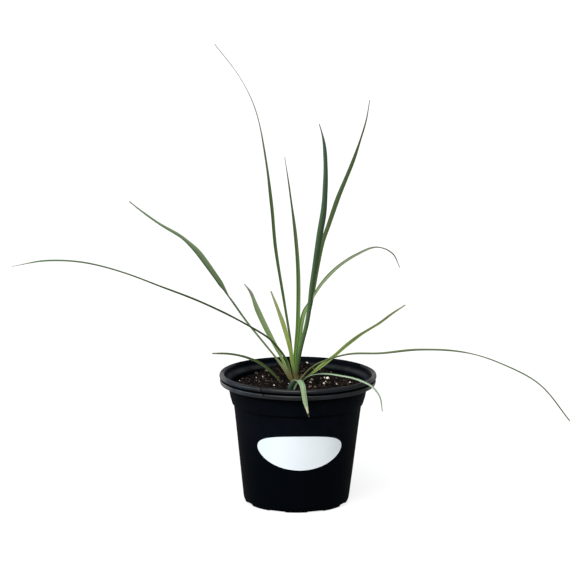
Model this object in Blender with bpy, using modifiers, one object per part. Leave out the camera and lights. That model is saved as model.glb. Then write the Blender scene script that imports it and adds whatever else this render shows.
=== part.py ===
"""A young yucca in a round nursery pot with a rolled rim.

The pot stands on its base, with its centre at the origin. Its oval label faces -Y.
Sizes are in metres, so each length is written in millimetres times MM.
"""

import math
from dataclasses import dataclass

import bmesh
import bpy
from mathutils import Matrix, Vector
from mathutils.geometry import interpolate_bezier

MM = 0.001

POT_HEIGHT = 95.5 * MM
RIM_RADIUS = 57.2 * MM
RIM_DEPTH = 7.8 * MM
NECK_RADIUS = 50.5 * MM
NECK_TOP = 84.3 * MM
SHOULDER_RADIUS = 46.5 * MM
SHOULDER_HEIGHT = 72.8 * MM
BASE_RADIUS = 38.2 * MM
WALL = 1.3 * MM
FLOOR = 1.8 * MM
POT_SIDES = 52

DRAIN_SLOTS = 8
DRAIN_REACH = 9.0 * MM
DRAIN_WIDTH = 13.0 * MM
DRAIN_HEIGHT = 2.2 * MM

# Pieces that touch keep this much air between them.
GAP = 0.3 * MM

LABEL_WIDTH = 65.2 * MM
LABEL_HEIGHT = 25.6 * MM
LABEL_CENTRE = 46.0 * MM
LABEL_THICKNESS = 0.3 * MM
LABEL_END_RISE = 3.0 * MM
LABEL_TURN = math.radians(3.0)
LABEL_COLUMNS = 24
LABEL_END_SHARE = 0.97

SOIL_LEVEL = 85.7 * MM
SOIL_SLOPE = 0.012
SOIL_MOUND = 2.1 * MM
SOIL_MOUND_SPREAD = 22.0 * MM
SOIL_HEAP = 7.4 * MM
SOIL_HEAP_CENTRE = Vector((-4.0, 43.0)) * MM
SOIL_HEAP_SPREAD = 18.0 * MM
SOIL_SIDES = 40
SOIL_RINGS = 6

CROWN_RADIUS = 4.6 * MM
CROWN_TOP = 96.6 * MM
CROWN_FOOT = 79.6 * MM
CROWN_SIDES = 24

BLADE_THICKNESS = 0.7 * MM
BLADE_TIP_SHARE = 0.1
LEAF_STATIONS = 20
BEZIER_STEPS = 12


@dataclass(frozen=True)
class Leaf:
    """One blade: the line its middle follows, base to tip, in millimetres, and how wide it is.

    The twist turns the blade about its own line, in degrees at places evenly spaced along it.
    """

    name: str
    route: tuple
    width: float
    colour: tuple
    twist: tuple = (0.0, 0.0)


DARK_GREEN = (0.06, 0.12, 0.05)
BLUE_GREEN = (0.12, 0.21, 0.14)
OLIVE_GREEN = (0.10, 0.16, 0.06)
PALE_GREEN = (0.32, 0.45, 0.27)
YELLOW_GREEN = (0.30, 0.40, 0.11)

LEAVES = (
    Leaf(
        "leaf_a",
        ((-3, 1.7, 97), (-3.7, 5, 104.2), (-4.6, 7, 111.3), (-6.1, 10, 121.8), (-9.4, 17, 145),
         (-16, 27, 182), (-20, 35, 214), (-25, 41, 249), (-32, 46, 281), (-44, 50, 305),
         (-60, 52, 328)),
        3.2,
        DARK_GREEN,
    ),
    Leaf(
        "leaf_b",
        ((0.6, 3.4, 97), (-1.9, 7, 103.8), (-1.1, 12, 114), (0, 19, 128), (0.1, 34, 161),
         (-2, 47, 188), (-6, 66, 222), (-10, 80, 243)),
        3.2,
        OLIVE_GREEN,
        twist=(0, 10, 20),
    ),
    Leaf(
        "leaf_c",
        ((1.3, -3.2, 97), (0.8, -6, 107), (2.2, -8, 114.4), (3.9, -9.5, 122.2),
         (6.6, -12, 133.8), (8.5, -15, 147), (10.3, -19, 164.5), (12.8, -24, 182.2),
         (15.5, -32, 203.2), (18, -38, 220.7), (19, -43, 240), (19, -45.5, 255),
         (18.2, -47, 268), (16.7, -48, 276.3), (14.3, -48, 284.8)),
        4.8,
        BLUE_GREEN,
    ),
    Leaf(
        "leaf_d",
        ((3.2, 0.8, 97), (1.4, 8, 104.4), (3.2, 14, 113.6), (7.1, 22, 130.7), (10.7, 32, 147.5),
         (14.2, 42, 165.9), (18, 52, 182.9), (22.4, 58, 194.7), (29.3, 64, 214.4),
         (34.9, 70, 227.4), (40.9, 76, 241.6), (45.9, 82, 255.8), (50.3, 88, 270.1),
         (52.8, 92, 284.5)),
        3.6,
        OLIVE_GREEN,
    ),
    Leaf(
        "leaf_e",
        ((0.2, 0.2, 97.2), (0, 1, 105.8), (0.9, 2, 115.3), (2.1, 3.2, 128.5), (3.5, 4.2, 135.7),
         (5.6, 5.4, 141), (8.1, 7, 145.2), (12.1, 10, 151.7), (18, 13, 160), (30, 21, 171),
         (44, 31, 178.4), (58, 43, 181.6), (70, 53, 175), (75.6, 58, 163.6)),
        3.6,
        OLIVE_GREEN,
    ),
    Leaf(
        "leaf_f",
        ((-6, 1, 92.5), (-9.3, 3, 97.5), (-16.5, 10, 105.5), (-26.2, 18, 115.6),
         (-38.1, 25.5, 129), (-49.7, 33, 143.9), (-61.3, 42, 159), (-73.4, 49, 174.6),
         (-80.1, 52, 181.2), (-87.6, 54.5, 187.1), (-102.6, 58.5, 195.2), (-117.6, 61, 205.4),
         (-125.5, 62, 211.6)),
        4.4,
        BLUE_GREEN,
        twist=(-60, -15, 0, 5, 70, 85, 90, 90, 90),
    ),
    Leaf(
        "leaf_g",
        ((-5, -3.4, 93.5), (-5.9, -3.4, 98.6), (-7.4, -4, 104.3), (-9.1, -5, 107.8),
         (-12.8, -7.5, 113.9), (-20, -12, 123), (-29, -16, 130), (-47, -25, 142),
         (-70, -35, 155), (-95, -46, 167), (-125, -60, 181), (-151, -74, 190), (-176, -86, 193),
         (-198, -98, 191)),
        3.4,
        DARK_GREEN,
    ),
    Leaf(
        "leaf_h",
        ((-4.2, 4.4, 93.5), (-7.0, 6.4, 97.6), (-9.5, 10, 101.2), (-14.8, 19, 108.7),
         (-18.9, 26, 115.1), (-23.4, 31.5, 122.5), (-30, 44, 134), (-35, 57, 144), (-40, 66, 149)),
        4.0,
        PALE_GREEN,
        twist=(-10, -25, -20),
    ),
    Leaf(
        "leaf_i",
        ((-2.8, -2.2, 97), (-4, -6, 105), (-5, -10, 113), (-8, -17, 126), (-11, -24, 139),
         (-15, -31, 152), (-19, -36, 163)),
        4.4,
        YELLOW_GREEN,
    ),
    Leaf(
        "leaf_j",
        ((-12, -2, 88.9), (-13.1, 0, 89.6), (-14.7, 2.5, 91.3), (-16.7, 5.5, 92.6),
         (-20.1, 11, 94.6), (-27.6, 21.5, 98), (-35.1, 29, 99.7), (-42.7, 38, 100.1),
         (-51.7, 46, 99.8), (-63.6, 54, 98.4)),
        3.4,
        OLIVE_GREEN,
    ),
    Leaf(
        "leaf_k",
        ((5, 3.4, 91), (8.4, 5.5, 92.6), (12.4, 8.5, 94.8), (20.2, 18, 99), (28.3, 29, 103.2),
         (35.1, 37, 107.5), (46.3, 49, 113.9), (53.9, 57, 117), (61.5, 64, 120.3),
         (70.6, 70, 126.1), (80.6, 74, 132.2)),
        3.8,
        PALE_GREEN,
        twist=(15, 15, 10, 0, -5),
    ),
    Leaf(
        "leaf_l",
        ((4, -4.6, 92), (6.9, -5.5, 97.8), (10.5, -6, 101), (14.1, -6.5, 103.7),
         (18.5, -7.5, 105.9), (23.5, -8.5, 108.2), (37.9, -11, 112.3), (60, -15, 113.8),
         (89, -20, 117.7), (120, -25, 117), (145, -28, 110), (174, -31, 95), (196, -34, 69)),
        3.0,
        OLIVE_GREEN,
    ),
    Leaf(
        "leaf_m",
        ((5.8, -1.4, 90), (7.7, -6.5, 93.8), (10.6, -9, 95.6), (16.3, -14, 97.8),
         (23.5, -20, 99), (30.6, -25, 99), (37.8, -29, 98.6), (44.9, -32.5, 97.3),
         (52.1, -35.5, 94.6), (56.4, -37, 90.8), (59.5, -38, 85.4), (61, -38, 76)),
        3.3,
        PALE_GREEN,
    ),
    Leaf(
        "leaf_n",
        ((0, -6, 89.5), (-2.4, -14, 89.4), (-3.8, -26, 89.2), (-5, -36, 90.6), (-4.3, -41, 94.4),
         (-2.8, -45.5, 98.3), (-0.9, -49.5, 100.9), (1.4, -54, 101.3), (3.4, -57.6, 99.4),
         (4.3, -59.8, 95.6), (5.6, -61, 88), (8.4, -61, 77)),
        4.8,
        PALE_GREEN,
    ),
)


def clear_scene():
    """Remove everything that the startup scene holds."""
    for item in list(bpy.data.objects):
        bpy.data.objects.remove(item, do_unlink=True)


def new_collection(name):
    """Return a new collection in the scene."""
    collection = bpy.data.collections.new(name)
    bpy.context.scene.collection.children.link(collection)
    return collection


def principled(name, colour, roughness):
    """Return a plain material with the given colour and roughness."""
    material = bpy.data.materials.new(name)
    material.use_nodes = True
    shader = material.node_tree.nodes["Principled BSDF"]
    shader.inputs["Base Color"].default_value = (*colour, 1.0)
    shader.inputs["Roughness"].default_value = roughness
    shader.inputs["Metallic"].default_value = 0.0
    return material


def add_object(name, mesh_maker, collection, material=None):
    """Make a bmesh with mesh_maker and put it in the collection as an object."""
    mesh = bpy.data.meshes.new(name)
    bm = bmesh.new()
    mesh_maker(bm)
    bm.to_mesh(mesh)
    bm.free()
    if material:
        mesh.materials.append(material)
    item = bpy.data.objects.new(name, mesh)
    collection.objects.link(item)
    return item


def draw_profile(bm, points, closed):
    """Add the (radius, height) points to bm as a chain of edges in the XZ plane."""
    verts = [bm.verts.new((radius, 0.0, height)) for radius, height in points]
    pairs = list(zip(verts, verts[1:]))
    if closed:
        pairs.append((verts[-1], verts[0]))
    for pair in pairs:
        bm.edges.new(pair)


def turn(item, steps):
    """Turn the object's profile round the Z axis."""
    screw = item.modifiers.new("turned", "SCREW")
    screw.steps = steps
    screw.render_steps = steps
    screw.use_merge_vertices = True
    screw.merge_threshold = 0.01 * MM
    screw.use_smooth_shade = True


def cut(item, cutter):
    """Cut the cutter's shape out of the object."""
    cutter.hide_render = True
    cutter.display_type = "WIRE"
    boolean = item.modifiers.new(cutter.name, "BOOLEAN")
    boolean.operation = "DIFFERENCE"
    boolean.object = cutter


def body_radius(height):
    """Outer radius of the pot's straight lower body at a height."""
    share = height / SHOULDER_HEIGHT
    return BASE_RADIUS + (SHOULDER_RADIUS - BASE_RADIUS) * share


def pot_profile():
    """The pot's wall in section, from the rim's crest down the outside and up the inside."""
    top = POT_HEIGHT
    skirt = top - RIM_DEPTH
    rim = [
        (RIM_RADIUS - 2.4 * MM, top),
        (RIM_RADIUS - 1.0 * MM, top - 0.3 * MM),
        (RIM_RADIUS - 0.1 * MM, top - 1.3 * MM),
        (RIM_RADIUS, top - 2.9 * MM),
        (RIM_RADIUS - 0.4 * MM, top - 3.6 * MM),
        (RIM_RADIUS - 1.1 * MM, top - 4.2 * MM),
        (RIM_RADIUS - 0.5 * MM, top - 4.9 * MM),
        (RIM_RADIUS - 0.7 * MM, skirt + 0.9 * MM),
        (RIM_RADIUS - 1.5 * MM, skirt),
        (RIM_RADIUS - 2.4 * MM, skirt + 0.1 * MM),
        (RIM_RADIUS - 2.7 * MM, skirt + 2.2 * MM),
        (NECK_RADIUS + 0.3 * MM, skirt + 2.0 * MM),
    ]
    neck = [
        (NECK_RADIUS, skirt - 2.0 * MM),
        (NECK_RADIUS - 1.3 * MM, SHOULDER_HEIGHT + 5.8 * MM),
        (NECK_RADIUS - 2.6 * MM, SHOULDER_HEIGHT + 1.6 * MM),
        (SHOULDER_RADIUS + 0.4 * MM, SHOULDER_HEIGHT + 0.7 * MM),
    ]
    body = [
        (SHOULDER_RADIUS, SHOULDER_HEIGHT),
        (body_radius(3.0 * MM), 3.0 * MM),
        (BASE_RADIUS - 0.9 * MM, 0.8 * MM),
        (BASE_RADIUS - 2.3 * MM, 0.0),
        (0.0, 0.0),
    ]
    inside = [
        (0.0, FLOOR),
        (BASE_RADIUS - 3.0 * MM, FLOOR),
        (body_radius(4.0 * MM) - WALL, 4.0 * MM),
        (SHOULDER_RADIUS - WALL, SHOULDER_HEIGHT),
        (NECK_RADIUS - 2.6 * MM - WALL, SHOULDER_HEIGHT + 2.2 * MM),
        (NECK_RADIUS - WALL - 0.9 * MM, NECK_TOP),
        (NECK_RADIUS - WALL - 0.8 * MM, skirt + 0.9 * MM),
        (NECK_RADIUS - WALL - 0.4 * MM, skirt + 1.8 * MM),
        (NECK_RADIUS + 0.5 * MM, skirt + 3.2 * MM),
        (NECK_RADIUS + 2.6 * MM, skirt + 4.7 * MM),
        (NECK_RADIUS + 3.0 * MM, skirt + 5.6 * MM),
        (NECK_RADIUS + 3.5 * MM, top - 0.3 * MM),
    ]
    return rim + neck + body + inside


def make_drain_slots(bm):
    """Blocks spaced round the bottom corner, one for each drain slot."""
    for index in range(DRAIN_SLOTS):
        angle = (index + 0.5) * math.tau / DRAIN_SLOTS
        place = Matrix.Rotation(angle, 4, "Z") @ Matrix.Translation((BASE_RADIUS, 0.0, 0.0))
        size = Matrix.Diagonal((DRAIN_REACH, DRAIN_WIDTH, 2.0 * DRAIN_HEIGHT, 1.0))
        bmesh.ops.create_cube(bm, size=1.0, matrix=place @ size)


def make_pot(parts, cutters):
    """The moulded pot: a turned wall with slots at its bottom corner."""
    material = principled("black_plastic", (0.012, 0.013, 0.016), 0.42)
    pot = add_object("pot", lambda bm: draw_profile(bm, pot_profile(), closed=True), parts, material)
    turn(pot, POT_SIDES)
    cut(pot, add_object("drain_slots", make_drain_slots, cutters))


def label_point(across, up):
    """Where a point of the flat label lies once the label is wrapped on the tapered body.

    The body narrows downwards, so the ends of a straight strip climb as it goes round.
    """
    middle_radius = body_radius(LABEL_CENTRE)
    height = LABEL_CENTRE + up + LABEL_END_RISE * (2.0 * across / LABEL_WIDTH) ** 2
    radius = body_radius(height) + GAP
    angle = -math.pi / 2 + LABEL_TURN + across / middle_radius
    return Vector((radius * math.cos(angle), radius * math.sin(angle), height))


def make_label_sheet(bm):
    """A strip of columns cut to an oval and wrapped on the pot."""
    bmesh.ops.create_grid(bm, x_segments=LABEL_COLUMNS, y_segments=1, size=1.0)
    for vert in bm.verts:
        turn_angle = vert.co.x * math.pi / 2 * LABEL_END_SHARE
        across = math.sin(turn_angle) * LABEL_WIDTH / 2
        half_height = math.cos(turn_angle) * LABEL_HEIGHT / 2
        vert.co = label_point(across, vert.co.y * half_height)


def make_label(parts):
    """The bare white oval sticker on the front."""
    material = principled("label_white", (0.86, 0.88, 0.89), 0.35)
    label = add_object("label", make_label_sheet, parts, material)
    shell = label.modifiers.new("thickness", "SOLIDIFY")
    shell.thickness = LABEL_THICKNESS
    shell.offset = 1.0


def soil_height(x, y):
    """Height of the soil's surface: low ripples, a mound round the crown and a heap at the back."""
    from_crown = math.hypot(x, y) / SOIL_MOUND_SPREAD
    from_heap = (Vector((x, y)) - SOIL_HEAP_CENTRE).length / SOIL_HEAP_SPREAD
    mound = SOIL_MOUND * math.exp(-0.5 * from_crown * from_crown)
    heap = SOIL_HEAP * math.exp(-0.5 * from_heap * from_heap)
    ripple = 0.3 * MM * math.sin(x / (7.0 * MM)) * math.cos(y / (9.0 * MM) + 0.6)
    return SOIL_LEVEL + SOIL_SLOPE * x + mound + heap + ripple


def soil_wall():
    """(radius, height) up the outside of the soil, just inside the pot's wall."""
    return [
        (BASE_RADIUS - 3.4 * MM, FLOOR + GAP),
        (body_radius(4.2 * MM) - WALL - GAP, 4.4 * MM),
        (SHOULDER_RADIUS - WALL - GAP, SHOULDER_HEIGHT + 0.2 * MM),
        (NECK_RADIUS - 2.7 * MM - WALL - GAP, SHOULDER_HEIGHT + 2.6 * MM),
        (NECK_RADIUS - WALL - 0.9 * MM - GAP, NECK_TOP),
    ]


def make_soil_body(bm):
    """A plug of soil turned from the pot's inner wall, with an uneven top."""
    wall = soil_wall()
    top_radius = wall[-1][0]
    rings = [(top_radius * (1 - ring / SOIL_RINGS), SOIL_LEVEL) for ring in range(SOIL_RINGS)]
    outline = [(0.0, wall[0][1])] + wall + rings + [(0.0, SOIL_LEVEL)]
    draw_profile(bm, outline, closed=False)
    bmesh.ops.spin(
        bm,
        geom=list(bm.verts) + list(bm.edges),
        axis=(0.0, 0.0, 1.0),
        cent=(0.0, 0.0, 0.0),
        angle=math.tau,
        steps=SOIL_SIDES,
        use_merge=True,
    )
    bmesh.ops.remove_doubles(bm, verts=list(bm.verts), dist=0.01 * MM)
    for vert in bm.verts:
        if vert.co.z > SOIL_LEVEL - 0.5 * MM:
            vert.co.z = soil_height(vert.co.x, vert.co.y)
    bmesh.ops.recalc_face_normals(bm, faces=list(bm.faces))


def make_crown_socket(bm):
    """The hole that the crown's foot stands in."""
    bottom = CROWN_FOOT - GAP
    height = CROWN_TOP - bottom
    bmesh.ops.create_cone(
        bm,
        cap_ends=True,
        segments=CROWN_SIDES,
        radius1=CROWN_RADIUS + GAP,
        radius2=CROWN_RADIUS + GAP,
        depth=height,
        matrix=Matrix.Translation((0.0, 0.0, bottom + height / 2)),
    )


def make_soil(parts, cutters):
    """The potting mix, with a socket for the crown."""
    material = principled("potting_mix", (0.035, 0.022, 0.017), 0.95)
    soil = add_object("soil", make_soil_body, parts, material)
    cut(soil, add_object("crown_socket", make_crown_socket, cutters))


def crown_profile():
    """(radius, height) down the outer side of the crown."""
    return [
        (0.0, CROWN_TOP),
        (CROWN_RADIUS - 0.6 * MM, CROWN_TOP - 0.1 * MM),
        (CROWN_RADIUS, CROWN_TOP - 1.2 * MM),
        (CROWN_RADIUS, CROWN_FOOT + 1.0 * MM),
        (CROWN_RADIUS - 1.2 * MM, CROWN_FOOT),
        (0.0, CROWN_FOOT),
    ]


def make_crown(parts):
    """The stub that the leaves grow from."""
    material = principled("crown_husk", (0.22, 0.17, 0.08), 0.7)
    outline = crown_profile()
    crown = add_object("crown", lambda bm: draw_profile(bm, outline, closed=False), parts, material)
    turn(crown, CROWN_SIDES)


def smooth_line(points):
    """Points close together along a smooth curve through the given ones."""
    ends = [2 * points[0] - points[1]] + points + [2 * points[-1] - points[-2]]
    line = [points[0]]
    for before, start, stop, after in zip(ends, ends[1:], ends[2:], ends[3:]):
        reach = (stop - start).length / 3
        leave = start + (stop - before).normalized() * reach
        arrive = stop - (after - start).normalized() * reach
        line += interpolate_bezier(start, leave, arrive, stop, BEZIER_STEPS)[1:]
    return line


def evenly_spaced(line, count):
    """Read count points from the line at equal distances along it."""
    travelled = [0.0]
    for start, stop in zip(line, line[1:]):
        travelled.append(travelled[-1] + (stop - start).length)
    places = []
    index = 0
    for step in range(count):
        target = travelled[-1] * step / (count - 1)
        while index < len(line) - 2 and travelled[index + 1] < target:
            index += 1
        share = (target - travelled[index]) / (travelled[index + 1] - travelled[index])
        places.append(line[index].lerp(line[index + 1], share))
    return places


def width_share(along):
    """Width of a blade, as a share of its widest, from base (0) to tip (1)."""
    swell = 0.8 + 0.2 * math.sin(math.pi * min(along / 0.9, 1.0))
    taper = (1.0 - along**2.6) ** 0.8
    return max(swell * taper, BLADE_TIP_SHARE)


def fold_share(along):
    """Depth of the blade's V, as a share of half its width."""
    return 0.42 - 0.22 * along


def twist_at(twist, along):
    """The blade's twist in radians, eased from one of its stated angles to the next."""
    spans = len(twist) - 1
    index = min(int(along * spans), spans - 1)
    share = along * spans - index
    eased = share * share * (3 - 2 * share)
    return math.radians(twist[index] + (twist[index + 1] - twist[index]) * eased)


def blade_frames(leaf):
    """For each station along the leaf: its centre, sideways and upward directions."""
    points = [Vector(point) * MM for point in leaf.route]
    centres = evenly_spaced(smooth_line(points), LEAF_STATIONS)
    heading = points[-1] - points[0]
    sideways = Vector((-heading.y, heading.x, 0.0)).normalized()
    frames = []
    for index, centre in enumerate(centres):
        behind = centres[max(index - 1, 0)]
        ahead = centres[min(index + 1, LEAF_STATIONS - 1)]
        forward = (ahead - behind).normalized()
        twist = Matrix.Rotation(twist_at(leaf.twist, index / (LEAF_STATIONS - 1)), 3, forward)
        side = twist @ (sideways - forward * sideways.dot(forward)).normalized()
        frames.append((centre, side, forward.cross(side)))
    return frames


def make_blade(bm, leaf):
    """A flat strip of two columns, folded into a shallow V and bent along the leaf's line."""
    frames = blade_frames(leaf)
    bmesh.ops.create_grid(bm, x_segments=2, y_segments=LEAF_STATIONS - 1, size=1.0)
    for vert in bm.verts:
        along = (vert.co.y + 1.0) / 2
        centre, side, up = frames[round(along * (LEAF_STATIONS - 1))]
        half_width = leaf.width * MM * width_share(along) / 2
        lift = (abs(vert.co.x) - 0.5) * fold_share(along) * half_width
        vert.co = centre + side * vert.co.x * half_width + up * lift


def make_leaf(leaf, parts):
    """One leaf as a thin solid blade."""
    material = principled(leaf.name + "_green", leaf.colour, 0.5)
    blade = add_object(leaf.name, lambda bm: make_blade(bm, leaf), parts, material)
    shell = blade.modifiers.new("thickness", "SOLIDIFY")
    shell.thickness = BLADE_THICKNESS
    shell.offset = 0.0


def main():
    """Build the potted plant, piece by piece."""
    clear_scene()
    parts = new_collection("potted_yucca")
    cutters = new_collection("cutters")
    make_pot(parts, cutters)
    make_label(parts)
    make_soil(parts, cutters)
    make_crown(parts)
    for leaf in LEAVES:
        make_leaf(leaf, parts)


main()
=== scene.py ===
"""Looks of a young yucca in a round nursery pot.

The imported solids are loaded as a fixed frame. The pot, label, soil, crown and leaves are modelled
again in their places with a finer shape, and crumbs, chips, fibres and grains are strewn on the soil.
Sizes are in metres, so each length is written in millimetres times MM.
"""

import logging
import math
import random
from collections.abc import Callable, Iterator, Sequence
from contextlib import contextmanager
from dataclasses import dataclass
from enum import Enum

import bpy
from mathutils import Euler, Matrix, Quaternion, Vector, noise
from mathutils.geometry import interpolate_bezier


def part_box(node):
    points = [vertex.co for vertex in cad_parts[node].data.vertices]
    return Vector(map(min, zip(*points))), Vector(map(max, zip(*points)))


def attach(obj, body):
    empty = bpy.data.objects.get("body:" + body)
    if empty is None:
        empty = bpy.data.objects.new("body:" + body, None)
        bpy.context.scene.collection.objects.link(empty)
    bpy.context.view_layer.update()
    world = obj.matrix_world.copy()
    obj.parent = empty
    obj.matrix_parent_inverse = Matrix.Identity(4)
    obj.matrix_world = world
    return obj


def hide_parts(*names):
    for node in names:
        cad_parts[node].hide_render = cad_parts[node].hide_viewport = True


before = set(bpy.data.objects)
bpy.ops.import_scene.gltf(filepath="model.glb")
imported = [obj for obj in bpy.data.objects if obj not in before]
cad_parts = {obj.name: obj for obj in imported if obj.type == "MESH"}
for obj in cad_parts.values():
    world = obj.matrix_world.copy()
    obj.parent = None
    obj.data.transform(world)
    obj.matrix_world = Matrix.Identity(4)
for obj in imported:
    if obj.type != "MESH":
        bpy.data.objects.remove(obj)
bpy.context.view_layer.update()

LOG = logging.getLogger("yucca")
MM = 0.001
BODY = "root"

Colour = tuple[float, float, float]
Point = tuple[float, float, float]
Corner = tuple[float, float]
Range = tuple[float, float]


class Slot(Enum):
    """The record's material slots."""

    POT = "pot"
    LABEL = "label"
    SOIL = "soil"
    CROWN = "crown"
    LEAF = "leaf"


def paint(red: int, green: int, blue: int) -> Colour:
    """Turn a colour as it looks on a screen into the linear one that a shader takes.

    Args:
        red, green, blue: The screen colour, each from 0 to 255.

    Returns:
        The linear colour.
    """

    def linear(value: int) -> float:
        """One channel."""
        share = value / 255
        return share / 12.92 if share <= 0.04045 else ((share + 0.055) / 1.055) ** 2.4

    return linear(red), linear(green), linear(blue)


def choose(item: bpy.types.Object) -> None:
    """Make the object the only selected one.

    Args:
        item: The object.
    """
    bpy.ops.object.select_all(action="DESELECT")
    item.select_set(True)
    bpy.context.view_layer.objects.active = item


@contextmanager
def editing(item: bpy.types.Object, everything: bool = True) -> Iterator[None]:
    """Work on the object in edit mode.

    Args:
        item: The object.
        everything: Whether all of it is selected at first. If not, its own selection is kept.

    Yields:
        Nothing. The work is done inside the with block.
    """
    choose(item)
    bpy.ops.object.mode_set(mode="EDIT")
    if everything:
        bpy.ops.mesh.select_all(action="SELECT")
    yield
    bpy.ops.object.mode_set(mode="OBJECT")


def named(name: str) -> bpy.types.Object:
    """Name the object that was just added.

    Args:
        name: Its name, and its mesh's.

    Returns:
        That object.
    """
    item = bpy.context.active_object
    item.name = name
    item.data.name = name
    return item


def settle(item: bpy.types.Object) -> None:
    """Put the object's place, turn and scale into its mesh."""
    choose(item)
    bpy.ops.object.transform_apply(location=True, rotation=True, scale=True)


def modify(item: bpy.types.Object, kind: str, **settings: object) -> None:
    """Add a modifier to the object and apply it.

    Args:
        item: The object.
        kind: The modifier's type.
        settings: The modifier's values by name.
    """
    choose(item)
    bpy.ops.object.modifier_add(type=kind)
    modifier = item.modifiers[-1]
    for key, value in settings.items():
        setattr(modifier, key, value)
    bpy.ops.object.modifier_apply(modifier=modifier.name)


def reshape(item: bpy.types.Object, rule: Callable[[Vector], Vector]) -> None:
    """Move every vertex of an object.

    Args:
        item: The object.
        rule: Gives a vertex's new place from its old one.
    """
    for vert in item.data.vertices:
        vert.co = rule(vert.co.copy())
    item.data.update()


def smooth(item: bpy.types.Object, degrees: float) -> None:
    """Shade the object smooth except at edges sharper than the angle."""
    choose(item)
    bpy.ops.object.shade_smooth_by_angle(angle=math.radians(degrees))


def join(items: Sequence[bpy.types.Object], name: str) -> bpy.types.Object:
    """Join objects in one.

    Args:
        items: The objects.
        name: The joined object's name.

    Returns:
        The joined object.
    """
    choose(items[0])
    for item in items[1:]:
        item.select_set(True)
    bpy.ops.object.join()
    return named(name)


def hand_over(piece: bpy.types.Object, slot: Slot, *nodes: str) -> None:
    """Let a finished piece ride with the plant.

    Args:
        piece: The piece, in its place.
        slot: The record's material slot for the piece. It is not used.
        nodes: The solids that it stands for.
    """
    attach(piece, BODY)
    if nodes:
        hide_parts(*nodes)
    piece.data.calc_loop_triangles()
    LOG.info("%s: %d triangles", piece.name, len(piece.data.loop_triangles))


def clamped(value: float) -> float:
    """Keep a share between 0 and 1."""
    return min(max(value, 0.0), 1.0)


def rounded(corners: Sequence[Point], steps: int) -> list[Corner]:
    """Round the corners of a closed outline.

    Args:
        corners: The outline's corners in order: radius, height, and how far from the corner its
            rounding may begin.
        steps: How many edges each rounding has.

    Returns:
        The outline's points.
    """
    points = []
    for index, (radius, height, reach) in enumerate(corners):
        here = Vector((radius, height, 0.0))
        before = Vector((*corners[index - 1][:2], 0.0))
        after = Vector((*corners[(index + 1) % len(corners)][:2], 0.0))
        if reach == 0.0:
            points.append((radius, height))
            continue
        start = here + (before - here) * min(0.5, reach / (before - here).length)
        stop = here + (after - here) * min(0.5, reach / (after - here).length)
        for step in range(steps + 1):
            share = step / steps
            arc = start.lerp(here, share).lerp(here.lerp(stop, share), share)
            points.append((arc.x, arc.y))
    return points


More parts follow.
